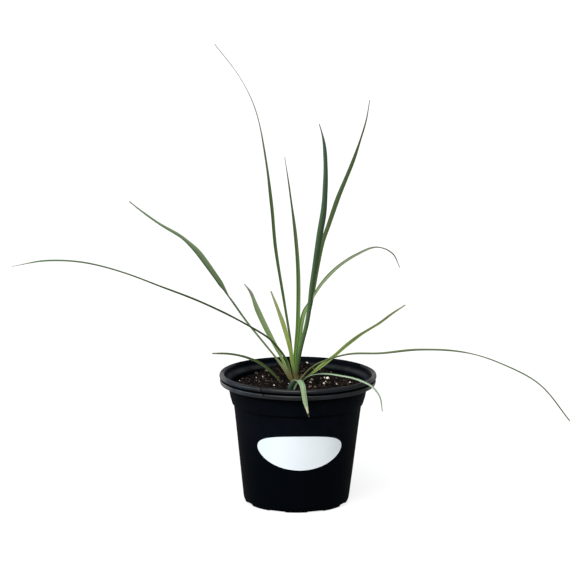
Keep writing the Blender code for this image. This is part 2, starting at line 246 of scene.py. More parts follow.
class Shader:
    """A Principled material and the nodes that feed it."""

    def __init__(self, name: str, roughness: float, specular: float) -> None:
        """Start a material with plain values on its shader.

        Args:
            name: The material's name.
            roughness: The shader's roughness.
            specular: Its specular level.
        """
        self.material = bpy.data.materials.new(name)
        self.material.use_nodes = True
        self.tree = self.material.node_tree
        self.surface = self.tree.nodes["Principled BSDF"]
        self.surface.inputs["Roughness"].default_value = roughness
        self.surface.inputs["Specular IOR Level"].default_value = specular
        self.relief: bpy.types.NodeSocket | None = None

    def node(self, kind: str, feeds: dict | None = None, **settings: object) -> bpy.types.Node:
        """Add a node.

        Args:
            kind: The node's type without its ShaderNode prefix.
            feeds: What goes into its inputs, by name or number: an output or a value.
            settings: The node's own values by name.

        Returns:
            The node.
        """
        node = self.tree.nodes.new("ShaderNode" + kind)
        for key, value in settings.items():
            setattr(node, key, value)
        for key, value in (feeds or {}).items():
            if isinstance(value, bpy.types.NodeSocket):
                self.tree.links.new(value, node.inputs[key])
            else:
                node.inputs[key].default_value = value
        return node

    def maths(self, operation: str, *values: object) -> bpy.types.NodeSocket:
        """Work out a number from others."""
        return self.node("Math", dict(enumerate(values)), operation=operation).outputs[0]

    def place(self, stretch: Point = (1.0, 1.0, 1.0)) -> bpy.types.NodeSocket:
        """The object's own coordinates, in metres times the stretch."""
        where = self.node("TexCoord").outputs["Object"]
        return self.node("Mapping", {"Vector": where, "Scale": stretch}).outputs[0]

    def grain(
        self, where: bpy.types.NodeSocket, scale: float, detail: float = 3.0
    ) -> bpy.types.NodeSocket:
        """A soft random pattern, from 0 to 1."""
        feeds = {"Vector": where, "Scale": scale, "Detail": detail}
        return self.node("TexNoise", feeds).outputs["Fac"]

    def ramp(self, factor: object, stops: Sequence[tuple[float, Colour]]) -> bpy.types.NodeSocket:
        """Colours that follow a factor.

        Args:
            factor: What picks the colour.
            stops: Places from 0 to 1 with their colours.

        Returns:
            The colour.
        """
        node = self.node("ValToRGB", {"Fac": factor})
        elements = node.color_ramp.elements
        for index, (position, colour) in enumerate(stops):
            element = elements[index] if index < 2 else elements.new(position)
            element.position = position
            element.color = (*colour, 1.0)
        return node.outputs["Color"]

    def span(self, value: object, low: float, high: float) -> bpy.types.NodeSocket:
        """Stretch a value so that low becomes 0 and high becomes 1, eased between."""
        feeds = {"Value": value, "From Min": low, "From Max": high}
        return self.node("MapRange", feeds, interpolation_type="SMOOTHSTEP").outputs[0]

    def part(self, value: object, low: float, high: float, most: float) -> bpy.types.NodeSocket:
        """Stretch a value as span does, but so that high becomes the given most."""
        return self.maths("MULTIPLY", self.span(value, low, high), most)

    def mix(
        self, factor: object, first: object, second: object, blend: str = "MIX"
    ) -> bpy.types.NodeSocket:
        """Lay one colour over another.

        Args:
            factor: How much of the second one shows.
            first: The colour below, as an output or as a plain colour.
            second: The colour above, likewise.
            blend: How the two are mixed.

        Returns:
            The colour.
        """
        first, second = (
            (*side, 1.0) if isinstance(side, tuple) else side for side in (first, second)
        )
        feeds = {0: factor, 6: first, 7: second}
        node = self.node("Mix", feeds, data_type="RGBA", blend_type=blend)
        return node.outputs[2]

    def feed(self, name: str, value: bpy.types.NodeSocket) -> None:
        """Feed one of the shader's inputs."""
        self.tree.links.new(value, self.surface.inputs[name])

    def emboss(self, height: bpy.types.NodeSocket, strength: float, depth: float) -> None:
        """Raise fine relief, on top of any that is there already.

        Args:
            height: The relief's pattern.
            strength: How strongly it shows.
            depth: How deep it is, in metres.
        """
        feeds = {"Height": height, "Strength": strength, "Distance": depth}
        if self.relief:
            feeds["Normal"] = self.relief
        self.relief = self.node("Bump", feeds).outputs[0]
        self.feed("Normal", self.relief)


@dataclass(frozen=True)
class PlasticFinish:
    """Black moulded plastic, with a film of dust and painted light, and rub marks below.

    The highlight film is the range of the film over which it turns to a painted highlight's colour.
    In the sheen film's range, which runs downwards, it turns blue: a painted sheen.
    """

    name: str
    specular: float
    roughness: float
    colour: Colour = (0.0003, 0.0010, 0.0022)
    # The film's colours: grey that is dust and painted light, a blue that is partly painted sheen,
    # and a painted highlight.
    dust_and_light: Colour = paint(46, 46, 46)
    blue_sheen_and_dust: Colour = paint(36, 43, 54)
    edge_highlight: Colour = paint(122, 118, 110)
    scuff: Colour = paint(22, 23, 26)
    highlight_film: Range = (0.9, 2.2)
    sheen_film: Range = (0.2, 0.12)
    cloud_scale: float = 85.0
    speck_scale: float = 900.0
    tint_scale: float = 30.0
    scuff_stretch: Point = (900.0, 900.0, 45.0)
    scuff_share: float = 0.16
    pore_scale: float = 1400.0
    pore_depth: float = 0.05 * MM

    def material(self) -> bpy.types.Material:
        """Build the material. The dust and painted light lie where the mesh's own attribute for them
        says.

        Returns:
            The material.
        """
        shader = Shader(self.name, self.roughness, self.specular)
        where = shader.place()
        film = shader.node("Attribute", attribute_name="dust_and_light").outputs["Fac"]
        highlight_share = shader.span(film, *self.highlight_film)
        sheen_share = shader.span(film, *self.sheen_film)
        clouds = shader.grain(where, self.cloud_scale, 5.0)
        specks = shader.grain(where, self.speck_scale, 3.0)
        patchy = shader.maths("MULTIPLY_ADD", shader.span(clouds, 0.28, 0.66), 0.6, 0.4)
        patchy = shader.maths("MULTIPLY", patchy, shader.maths("MULTIPLY_ADD", specks, 0.7, 0.65))
        film = shader.maths("MULTIPLY", film, patchy)
        scuffs = shader.grain(shader.place(self.scuff_stretch), 1.0, 2.0)
        rubbed = shader.part(scuffs, 0.68, 0.84, self.scuff_share)
        # The blue patches and the film's lowest range are painted sheen; its top range is a painted
        # highlight.
        blue = shader.span(shader.grain(where, self.tint_scale), 0.4, 0.6)
        tint = shader.mix(blue, self.dust_and_light, self.blue_sheen_and_dust)
        tint = shader.mix(sheen_share, tint, self.blue_sheen_and_dust)
        tint = shader.mix(highlight_share, tint, self.edge_highlight)
        colour = shader.mix(rubbed, self.colour, self.scuff)
        shader.feed("Base Color", shader.mix(film, colour, tint))
        shader.feed("Roughness", shader.maths("MULTIPLY_ADD", clouds, 0.24, self.roughness - 0.12))
        shader.emboss(shader.grain(where, self.pore_scale, 2.0), 0.25, self.pore_depth)
        return shader.material


WALL_PLASTIC = PlasticFinish("wall_plastic", specular=0.03, roughness=0.55)
RIM_PLASTIC = PlasticFinish("rim_plastic", specular=0.3, roughness=0.4)


@dataclass(frozen=True)
class StickerFinish:
    """Smooth white sticker stock, a little cool."""

    colour: Colour = paint(240, 247, 250)
    shade: Colour = paint(230, 238, 243)
    cloud_scale: float = 45.0
    fleck_scale: float = 260.0
    fleck_depth: float = 0.05 * MM

    def material(self) -> bpy.types.Material:
        """Build the material.

        Returns:
            The material.
        """
        shader = Shader("sticker_white", 0.38, 0.35)
        where = shader.place()
        clouds = shader.grain(where, self.cloud_scale, 2.0)
        shader.feed("Base Color", shader.mix(clouds, self.colour, self.shade))
        shader.emboss(shader.grain(where, self.fleck_scale, 4.0), 0.12, self.fleck_depth)
        return shader.material


@dataclass(frozen=True)
class EarthFinish:
    """Damp potting mix: nearly black peat with redder bits."""

    name: str = "potting_mix"
    by_tone: bool = False
    stops: tuple[tuple[float, Colour], ...] = (
        (0.0, paint(3, 3, 3)),
        (0.35, paint(9, 7, 6)),
        (0.6, paint(16, 10, 9)),
        (0.8, paint(41, 27, 23)),
        (1.0, paint(122, 100, 82)),
    )
    clod_scale: float = 260.0
    crumb_scale: float = 900.0
    crumb_depth: float = 0.25 * MM

    def material(self) -> bpy.types.Material:
        """Build the material, coloured by each bit's tone or by a pattern.

        Returns:
            The material.
        """
        shader = Shader(self.name, 0.88, 0.12)
        where = shader.place()
        fine = shader.grain(where, self.crumb_scale, 4.0)
        if self.by_tone:
            tone = shader.node("Attribute", attribute_name="tone").outputs["Fac"]
            pick = shader.maths("MULTIPLY_ADD", shader.maths("SUBTRACT", fine, 0.5), 0.25, tone)
        else:
            pick = shader.maths("MULTIPLY", shader.grain(where, self.clod_scale, 5.0), 0.9)
        shader.feed("Base Color", shader.ramp(pick, self.stops))
        shader.emboss(fine, 0.6, self.crumb_depth)
        return shader.material


@dataclass(frozen=True)
class PerliteFinish:
    """Puffed white grains, pitted and a little stained."""

    colour: Colour = paint(238, 230, 213)
    stain: Colour = paint(172, 146, 120)
    stain_scale: float = 700.0
    pit_scale: float = 2200.0
    pit_depth: float = 0.15 * MM

    def material(self) -> bpy.types.Material:
        """Build the material.

        Returns:
            The material.
        """
        shader = Shader("perlite_white", 0.85, 0.2)
        where = shader.place()
        stained = shader.span(shader.grain(where, self.stain_scale, 3.0), 0.52, 0.75)
        shader.feed("Base Color", shader.mix(stained, self.colour, self.stain))
        shader.emboss(shader.grain(where, self.pit_scale, 3.0), 0.7, self.pit_depth)
        return shader.material


@dataclass(frozen=True)
class HuskFinish:
    """Dry leaf bases at the crown: straw and brown, with lengthwise fibres."""

    straw: Colour = paint(104, 96, 58)
    brown: Colour = paint(50, 38, 24)
    fibre_stretch: Point = (2600.0, 2600.0, 160.0)
    fibre_depth: float = 0.12 * MM

    def material(self) -> bpy.types.Material:
        """Build the material.

        Returns:
            The material.
        """
        shader = Shader("dry_husk", 0.75, 0.2)
        fibres = shader.grain(shader.place(self.fibre_stretch), 1.0, 3.0)
        shader.feed("Base Color", shader.mix(shader.span(fibres, 0.3, 0.7), self.brown, self.straw))
        shader.emboss(fibres, 0.5, self.fibre_depth)
        return shader.material


@dataclass(frozen=True)
class LeafFinish:
    """Colours of a blade from its clasping foot to its tip, with fine ribs along it.

    The shade on one half is painted shade on one side of the middle, and the shade along the spine is
    painted shade along the middle crease. The point is the last bit of the tip, where it has a colour
    of its own.
    """

    foot: Colour
    low: Colour
    middle: Colour
    high: Colour
    tip: Colour
    margin: Colour
    streaks: float = 0.5
    specks: float = 0.0
    tip_from: float = 0.95
    painted_shade_half: float = 0.0
    dark_from: float = 0.46
    dark_to: float = 0.56
    painted_crease_shade: float = 0.0
    point: Colour | None = None
    rib_light: Colour = (0.55, 0.6, 0.5)
    rib_dark: Colour = (0.35, 0.4, 0.3)
    half_shade: Colour = (0.22, 0.3, 0.2)
    spine_shade: Colour = (0.2, 0.26, 0.16)
    margin_share: float = 0.55
    foot_length: float = 9.0
    low_length: float = 20.0
    rib_stretch: Point = (3.4, 0.035, 1.0)
    rib_depth: float = 0.12 * MM
    speck_scale: float = 0.9

    def material(self, name: str, length: float, width: float) -> bpy.types.Material:
        """Build the material for one blade.

        Args:
            name: The blade's name.
            length: Its length in millimetres, foot included.
            width: Its greatest width in millimetres.

        Returns:
            The material.
        """
        shader = Shader(name + "_green", 0.46, 0.16)
        uv = shader.node("TexCoord").outputs["UV"]
        flat = shader.node("Mapping", {"Vector": uv, "Scale": (width, length, 1.0)}).outputs[0]
        across, along, _ = shader.node("SeparateXYZ", {"Vector": uv}).outputs
        side = shader.maths("ABSOLUTE", shader.maths("MULTIPLY_ADD", across, 2.0, -1.0))
        cloud = shader.grain(flat, 0.09, 3.0)
        wander = shader.maths("MULTIPLY_ADD", shader.maths("SUBTRACT", cloud, 0.5), 0.1, along)
        stops = (
            (0.0, self.foot),
            (min(self.foot_length / length, 0.15), self.foot),
            (min(self.low_length / length, 0.3), self.low),
            (0.5, self.middle),
            (0.86, self.high),
            (self.tip_from, self.high),
            (min(self.tip_from + 0.03, 0.96), self.tip),
            (0.978, self.tip),
            (0.988, self.point or self.tip),
        )
        colour = shader.ramp(wander, stops)
        ribs = shader.node("Mapping", {"Vector": flat, "Scale": self.rib_stretch}).outputs[0]
        streak = shader.grain(ribs, 1.0, 4.0)
        # Painted shade on one half of the blade.
        half = shader.part(across, self.dark_from, self.dark_to, self.painted_shade_half)
        cells = shader.node("TexVoronoi", {"Vector": flat, "Scale": self.speck_scale})
        dots = cells.outputs["Distance"]
        layers = (
            # The third and fourth layers are painted shade: on one half, and along the middle crease.
            (shader.part(streak, 0.4, 0.66, self.streaks), self.rib_light, "SOFT_LIGHT"),
            (shader.part(streak, 0.52, 0.3, self.streaks * 0.7), self.rib_dark, "MULTIPLY"),
            (half, self.half_shade, "MULTIPLY"),
            (shader.part(side, 0.5, 0.2, self.painted_crease_shade), self.spine_shade, "MULTIPLY"),
            (shader.part(side, 0.88, 0.97, self.margin_share), self.margin, "MIX"),
            (shader.part(dots, 0.24, 0.1, self.specks), self.margin, "MIX"),
        )
        for amount, tint, blend in layers:
            colour = shader.mix(amount, colour, tint, blend)
        shader.feed("Base Color", colour)
        shader.feed("Roughness", shader.maths("MULTIPLY_ADD", streak, 0.2, 0.36))
        shader.emboss(streak, 0.35, self.rib_depth)
        return shader.material


@dataclass
class NurseryPot:
    """The moulded pot: a thin turned wall with a rolled rim, a shoulder step and drain slots.

    The two grooves are where the rim's groove starts and stops below the pot's top: the first is free
    of the film, which paints shade in the groove, and the second takes the plain plastic. The films
    are how much of the dust and painted light each region gets.
    """

    rim_radius: float
    height: float
    rim_depth: float = 7.8 * MM
    neck_radius: float = 50.5 * MM
    neck_top: float = 84.3 * MM
    shoulder_radius: float = 46.5 * MM
    shoulder_height: float = 72.8 * MM
    base_radius: float = 38.2 * MM
    wall: float = 1.3 * MM
    floor: float = 1.8 * MM
    sides: int = 720
    drain_slots: int = 8
    drain_size: Point = (9.0 * MM, 13.0 * MM, 4.4 * MM)
    rim_lean: float = 0.007
    rim_lift: float = 0.4 * MM
    crease_angle: float = math.radians(-118.2)
    crease_slant: float = 0.42
    crease_width: float = 0.55 * MM
    crease_depth: float = 1.3 * MM
    crease_shift: float = 2.4 * MM
    side_lean: float = 0.7 * MM
    side_wave: float = 0.2 * MM
    rim_warp: float = 0.12 * MM
    groove: Range = (2.8 * MM, 4.6 * MM)
    plain_groove: Range = (2.9 * MM, 4.65 * MM)
    # The body's film is a painted blue sheen, left off in places as painted shade.
    body_sheen: float = 0.1
    bead_film: float = 0.24
    band_film: float = 0.65
    ledge_film: float = 0.95
    # The end films and the left streak film are painted highlights on the rim.
    left_end_highlight: float = 0.8
    right_end_highlight: float = 1.25
    left_highlight_streak: float = 0.5

    def body_radius(self, height: float) -> float:
        """Outer radius of the straight lower body at a height."""
        share = height / self.shoulder_height
        return self.base_radius + (self.shoulder_radius - self.base_radius) * share

    def section(self) -> list[Corner]:
        """Lay out the wall's outline, down the outside and up the inside.

        Returns:
            The outline's points: radius and height.
        """
        top, rim, neck = self.height, self.rim_radius, self.neck_radius
        shoulder, base = self.shoulder_height, self.base_radius
        skirt = top - self.rim_depth
        inner_neck = neck - self.wall
        rim_outside = [
            (rim - 2.7 * MM, top, 1.0 * MM),
            (rim - 0.7 * MM, top - 0.1 * MM, 0.8 * MM),
            (rim, top - 1.2 * MM, 0.5 * MM),
            (rim, top - 2.7 * MM, 0.3 * MM),
            (rim - 0.4 * MM, top - 2.9 * MM, 0.1 * MM),
            (rim - 2.2 * MM, top - 3.1 * MM, 0.2 * MM),
            (rim - 2.2 * MM, top - 4.3 * MM, 0.2 * MM),
            (rim - 0.7 * MM, top - 4.6 * MM, 0.2 * MM),
            (rim - 0.35 * MM, top - 5.2 * MM, 0.4 * MM),
            (rim - 0.7 * MM, skirt + 0.6 * MM, 0.4 * MM),
            (rim - 1.3 * MM, skirt, 0.3 * MM),
            (rim - 2.2 * MM, skirt, 0.3 * MM),
            (rim - 2.6 * MM, skirt + 2.2 * MM, 0.4 * MM),
            (neck + 0.3 * MM, skirt + 2.0 * MM, 0.4 * MM),
        ]
        body_outside = [
            (neck, skirt - 2.0 * MM, 1.5 * MM),
            (neck - 1.3 * MM, shoulder + 5.8 * MM, 1.5 * MM),
            (neck - 2.5 * MM, shoulder + 1.9 * MM, 0.8 * MM),
            (self.shoulder_radius + 1.2 * MM, shoulder + 0.8 * MM, 0.5 * MM),
            (self.shoulder_radius + 0.05 * MM, shoulder + 0.3 * MM, 0.3 * MM),
            (self.body_radius(71.3 * MM), 71.3 * MM, 0.3 * MM),
            (self.body_radius(60.0 * MM), 60.0 * MM, 2.0 * MM),
            (self.body_radius(30.0 * MM), 30.0 * MM, 2.0 * MM),
            (self.body_radius(3.6 * MM), 3.6 * MM, 1.4 * MM),
            (base - 0.7 * MM, 0.8 * MM, 0.7 * MM),
            (base - 2.3 * MM, 0.0, 0.8 * MM),
            (base - 6.0 * MM, 0.0, 0.4 * MM),
            (base - 6.8 * MM, 0.5 * MM, 0.4 * MM),
            (0.0, 0.5 * MM, 0.0),
        ]
        inside = [
            (0.0, self.floor, 0.0),
            (base - 3.0 * MM, self.floor, 1.0 * MM),
            (self.body_radius(4.0 * MM) - self.wall, 4.0 * MM, 1.0 * MM),
            (self.shoulder_radius - self.wall, shoulder, 1.0 * MM),
            (neck - 2.6 * MM - self.wall, shoulder + 2.2 * MM, 1.0 * MM),
            (inner_neck - 0.9 * MM, self.neck_top, 1.0 * MM),
            (inner_neck - 0.9 * MM, skirt + 1.3 * MM, 0.5 * MM),
            (inner_neck + 1.2 * MM, skirt + 2.8 * MM, 0.2 * MM),
            (inner_neck + 1.5 * MM, skirt + 3.25 * MM, 0.2 * MM),
            (neck + 2.7 * MM, skirt + 4.8 * MM, 0.5 * MM),
            (neck + 3.3 * MM, top - 1.0 * MM, 0.6 * MM),
        ]
        return rounded(rim_outside + body_outside + inside, 3)

    def dust_and_light_on(self, spot: Vector) -> float:
        """Tell how much dust and painted light the plastic has at a point: less towards the back as
        painted shade, most at the rim's two ends as painted highlights, with a painted highlight
        streak at the left front.

        Args:
            spot: The point, on the perfect pot.

        Returns:
            The dust and painted light, which hide the plastic where they reach 1.
        """
        radius = math.hypot(spot.x, spot.y)
        dust_and_light = self.dust_and_light_at(radius, spot.z)
        if radius < self.rim_radius - 4.4 * MM:
            return dust_and_light
        # The film fades towards the back: painted shade.
        back_shade = 1.0 - 0.85 * clamped(2.0 * spot.y / self.rim_radius)
        down = self.height - spot.z
        if self.groove[0] < down < self.groove[1] or down > self.rim_depth:
            return dust_and_light * back_shade
        # The rim's two ends get painted highlights, and its left front a painted highlight streak.
        aside = spot.x / self.rim_radius
        end = clamped((abs(aside) - 0.8) * 6.0)
        end_highlight = self.right_end_highlight if aside > 0.0 else self.left_end_highlight
        streak = self.left_highlight_streak * clamped((-0.55 - aside) * 6.0) if spot.y < 0.0 else 0.0
        return back_shade * (dust_and_light + end * end_highlight) + streak

    def dust_and_light_at(self, radius: float, height: float) -> float:
        """Tell how much dust and painted light the section has at a point: most on the rim's top,
        least in its groove, where that paints shade.

        Args:
            radius: The point's distance from the axis.
            height: Its height.

        Returns:
            The dust and painted light, before what differs round the pot.
        """
        skirt = self.height - self.rim_depth
        down = self.height - height
        above = height - self.shoulder_height
        if radius < self.body_radius(height) - 0.6 * self.wall and height < self.shoulder_height:
            return 0.0
        inner_neck = self.neck_radius - self.wall - 0.7 * MM
        # The wall between the ledge and the soil gets none: painted shade.
        if radius < inner_neck and height > self.shoulder_height + 4.0 * MM:
            return 0.0
        # Below the rim the body gets a thin film, a painted blue sheen that fades towards the bottom;
        # just under the skirt and at the shoulder step it gets none, which paints shade lines there.
        if down > self.rim_depth + 0.5 * MM:
            if above > 11.5 * MM or -0.6 * MM < above < 1.0 * MM:
                return 0.0
            return self.body_sheen * min(1.0, max(0.1, (above + 42.0 * MM) / (14.0 * MM)))
        # The ledge gets a full film, dust and painted light; the steep faces beside it nearly none,
        # painted shade.
        if radius < self.neck_radius + 3.0 * MM:
            return self.ledge_film if skirt + 2.0 * MM < height < skirt + 4.0 * MM else 0.08
        # The rim's inner top edge gets a full film, a painted highlight line; the face below it
        # nearly none, painted shade.
        if radius < self.rim_radius - 3.0 * MM:
            return 1.0 if down < 0.9 * MM else 0.03
        # The groove and the rim's underside get none: painted shade.
        grooved = self.groove[0] < down < self.groove[1]
        if grooved or radius < self.rim_radius - 1.5 * MM and down > self.groove[0]:
            return 0.0
        return self.bead_film if down < 3.5 * MM else self.band_film

    def turn_wall(self) -> bpy.types.Object:
        """Turn the section round the pot's axis.

        Returns:
            The pot without its slots.
        """
        section = self.section()
        bpy.ops.mesh.primitive_circle_add(vertices=len(section), fill_type="NOTHING")
        pot = named("nursery_pot")
        for vert, (radius, height) in zip(pot.data.vertices, section):
            vert.co = (radius, 0.0, height)
        modify(
            pot, "SCREW", steps=self.sides, render_steps=self.sides,
            use_merge_vertices=True, merge_threshold=0.01 * MM,
        )
        with editing(pot):
            bpy.ops.mesh.remove_doubles(threshold=0.005 * MM)
            bpy.ops.mesh.dissolve_degenerate(threshold=0.005 * MM)
            bpy.ops.mesh.normals_make_consistent(inside=False)
        return pot

    def cut_slots(self, pot: bpy.types.Object) -> None:
        """Cut the drain slots through the pot's bottom corner.

        Args:
            pot: The pot, which is changed.
        """
        cutters = []
        for index in range(self.drain_slots):
            angle = (index + 0.5) * math.tau / self.drain_slots
            place = Vector((math.cos(angle), math.sin(angle), 0.0)) * self.base_radius
            bpy.ops.mesh.primitive_cube_add(size=1.0, location=place, rotation=(0.0, 0.0, angle))
            cutter = named("drain_cutter")
            cutter.scale = self.drain_size
            settle(cutter)
            with editing(cutter):
                bpy.ops.mesh.bevel(offset=0.9 * MM, segments=3)
            cutters.append(cutter)
        cutter = join(cutters, "drain_cutter")
        modify(pot, "BOOLEAN", operation="DIFFERENCE", object=cutter)
        bpy.data.objects.remove(cutter)

    def imperfect(self, spot: Vector) -> Vector:
        """Find where a point of the perfect pot lies on the real one.

        The real one is a little wavy, its rim leans to the front, and the rim has a crease.

        Args:
            spot: The point.

        Returns:
            Its place.
        """
        radius = math.hypot(spot.x, spot.y)
        if radius < self.base_radius * 0.5:
            return spot
        angle = math.atan2(spot.y, spot.x)
        ring = Vector((math.cos(angle), math.sin(angle), spot.z / (60.0 * MM))) * 1.7
        wave = self.side_wave * noise.noise(ring)
        down = self.height - spot.z
        across = (angle - self.crease_angle) * self.rim_radius - self.crease_slant * down
        near_rim = 1.0 if down < self.rim_depth + 0.5 * MM else 0.0
        outer = clamped((radius - self.rim_radius + 4.0 * MM) / (2.5 * MM))
        crease = math.exp(-((across / self.crease_width) ** 2))
        swell = math.exp(-(((across + self.crease_shift) / (1.6 * MM)) ** 2))
        dent = near_rim * outer * self.crease_depth * (0.35 * swell - crease)
        share = (radius + wave + dent) / radius
        high = max(0.0, spot.z - self.shoulder_height) / (self.height - self.shoulder_height)
        warp = self.rim_warp * noise.noise(ring + Vector((4.0, 0.0, 0.0)))
        lean = high * (self.rim_lean * spot.y + self.rim_lift + warp)
        aside = self.side_lean * (spot.z / self.height - 0.45)
        return Vector((spot.x * share + aside, spot.y * share, spot.z + lean + 0.3 * dent))

    def build(self) -> bpy.types.Object:
        """Make, dress and hand over the pot.

        Returns:
            The pot.
        """
        pot = self.turn_wall()
        self.cut_slots(pot)
        spots = [vert.co for vert in pot.data.vertices]
        # The attribute holds each point's film of dust and painted light.
        dust_and_light = [self.dust_and_light_on(spot) for spot in spots]
        pot.data.attributes.new("dust_and_light", "FLOAT", "POINT").data.foreach_set("value", dust_and_light)
        pot.data.materials.append(WALL_PLASTIC.material())
        pot.data.materials.append(RIM_PLASTIC.material())
        foot = self.height - self.rim_depth - 0.1 * MM
        for face in pot.data.polygons:
            centre = face.center
            outside = math.hypot(centre.x, centre.y) > self.rim_radius - 3.5 * MM
            grooved = self.plain_groove[0] < self.height - centre.z < self.plain_groove[1]
            if centre.z > foot and outside and not grooved and centre.y < 0.5 * self.rim_radius:
                face.material_index = 1
        reshape(pot, self.imperfect)
        smooth(pot, 42.0)
        hand_over(pot, Slot.POT, "pot")
        return pot


@dataclass
class Label:
    """The bare oval sticker on the front of the pot."""

    pot: NurseryPot
    width: float = 65.2 * MM
    height: float = 25.6 * MM
    centre: float = 46.0 * MM
    thickness: float = 0.28 * MM
    end_rise: float = 3.0 * MM
    turn: float = math.radians(3.0)
    stand_off: float = 0.3 * MM
    columns: int = 110
    rows: int = 26
    blunt: float = 0.985
    finish: StickerFinish = StickerFinish()

    def wrapped(self, spot: Vector) -> Vector:
        """Wrap a point of the flat sheet on the tapered body.

        Args:
            spot: The point, from -1 to 1 both ways.

        Returns:
            Its place.
        """
        sweep = spot.x * math.pi / 2 * self.blunt
        across = math.sin(sweep) * self.width / 2
        up = spot.y * math.cos(sweep) * self.height / 2
        height = self.centre + up + self.end_rise * (2.0 * across / self.width) ** 2
        ripple = 0.05 * MM * noise.noise(Vector((across, up, 0.0)) / (11.0 * MM))
        radius = self.pot.body_radius(height) + self.stand_off + ripple
        angle = -math.pi / 2 + self.turn + across / self.pot.body_radius(self.centre)
        return Vector((radius * math.cos(angle), radius * math.sin(angle), height))

    def build(self) -> bpy.types.Object:
        """Make, dress and hand over the sticker.

        Returns:
            The sticker.
        """
        bpy.ops.mesh.primitive_grid_add(
            x_subdivisions=self.columns, y_subdivisions=self.rows, size=2.0
        )
        label = named("oval_sticker")
        reshape(label, self.wrapped)
        modify(label, "SOLIDIFY", thickness=self.thickness, offset=1.0)
        label.data.materials.append(self.finish.material())
        smooth(label, 40.0)
        hand_over(label, Slot.LABEL, "label")
        return label


class Strewing:
    """Copies of a few small shapes, joined in one piece."""

    def __init__(self, shapes: Sequence[bpy.types.Object], seed: int) -> None:
        """Take the shapes, which are removed from the scene.

        Args:
            shapes: The small objects to copy, each about 1 unit across.
            seed: Where the random draws start.
        """
        self.draw = random.Random(seed)
        self.shapes = []
        for shape in shapes:
            corners = [vert.co.copy() for vert in shape.data.vertices]
            faces = [tuple(face.vertices) for face in shape.data.polygons]
            self.shapes.append((corners, faces))
            bpy.data.objects.remove(shape)
        self.corners: list[Vector] = []
        self.faces: list[tuple[int, ...]] = []
        self.tones: list[float] = []

    def add(self, place: Vector, turn: Euler, size: Vector, tone: float) -> None:
        """Add one copy of a shape drawn at random.

        Args:
            place: Its centre.
            turn: Its turn.
            size: Its length along each of its own axes.
            tone: Its tone, from dark (0) to light (1).
        """
        corners, faces = self.draw.choice(self.shapes)
        matrix = Matrix.LocRotScale(place, turn, size)
        first = len(self.corners)
        self.corners += [matrix @ corner for corner in corners]
        self.faces += [tuple(first + index for index in face) for face in faces]
        self.tones += [tone] * len(corners)

    def any_turn(self) -> Euler:
        """A turn drawn at random."""
        return Euler([self.draw.uniform(0.0, math.tau) for _ in range(3)])

    def piece(self, name: str, material: bpy.types.Material) -> bpy.types.Object:
        """Join the copies.

        Args:
            name: The joined piece's name.
            material: Its material.

        Returns:
            The joined piece, with each copy's tone as an attribute.
        """
        mesh = bpy.data.meshes.new(name)
        mesh.from_pydata(self.corners, [], self.faces)
        mesh.attributes.new("tone", "FLOAT", "POINT").data.foreach_set("value", self.tones)
        mesh.materials.append(material)
        item = bpy.data.objects.new(name, mesh)
        bpy.context.scene.collection.objects.link(item)
        with editing(item):
            bpy.ops.mesh.normals_make_consistent(inside=False)
        return item


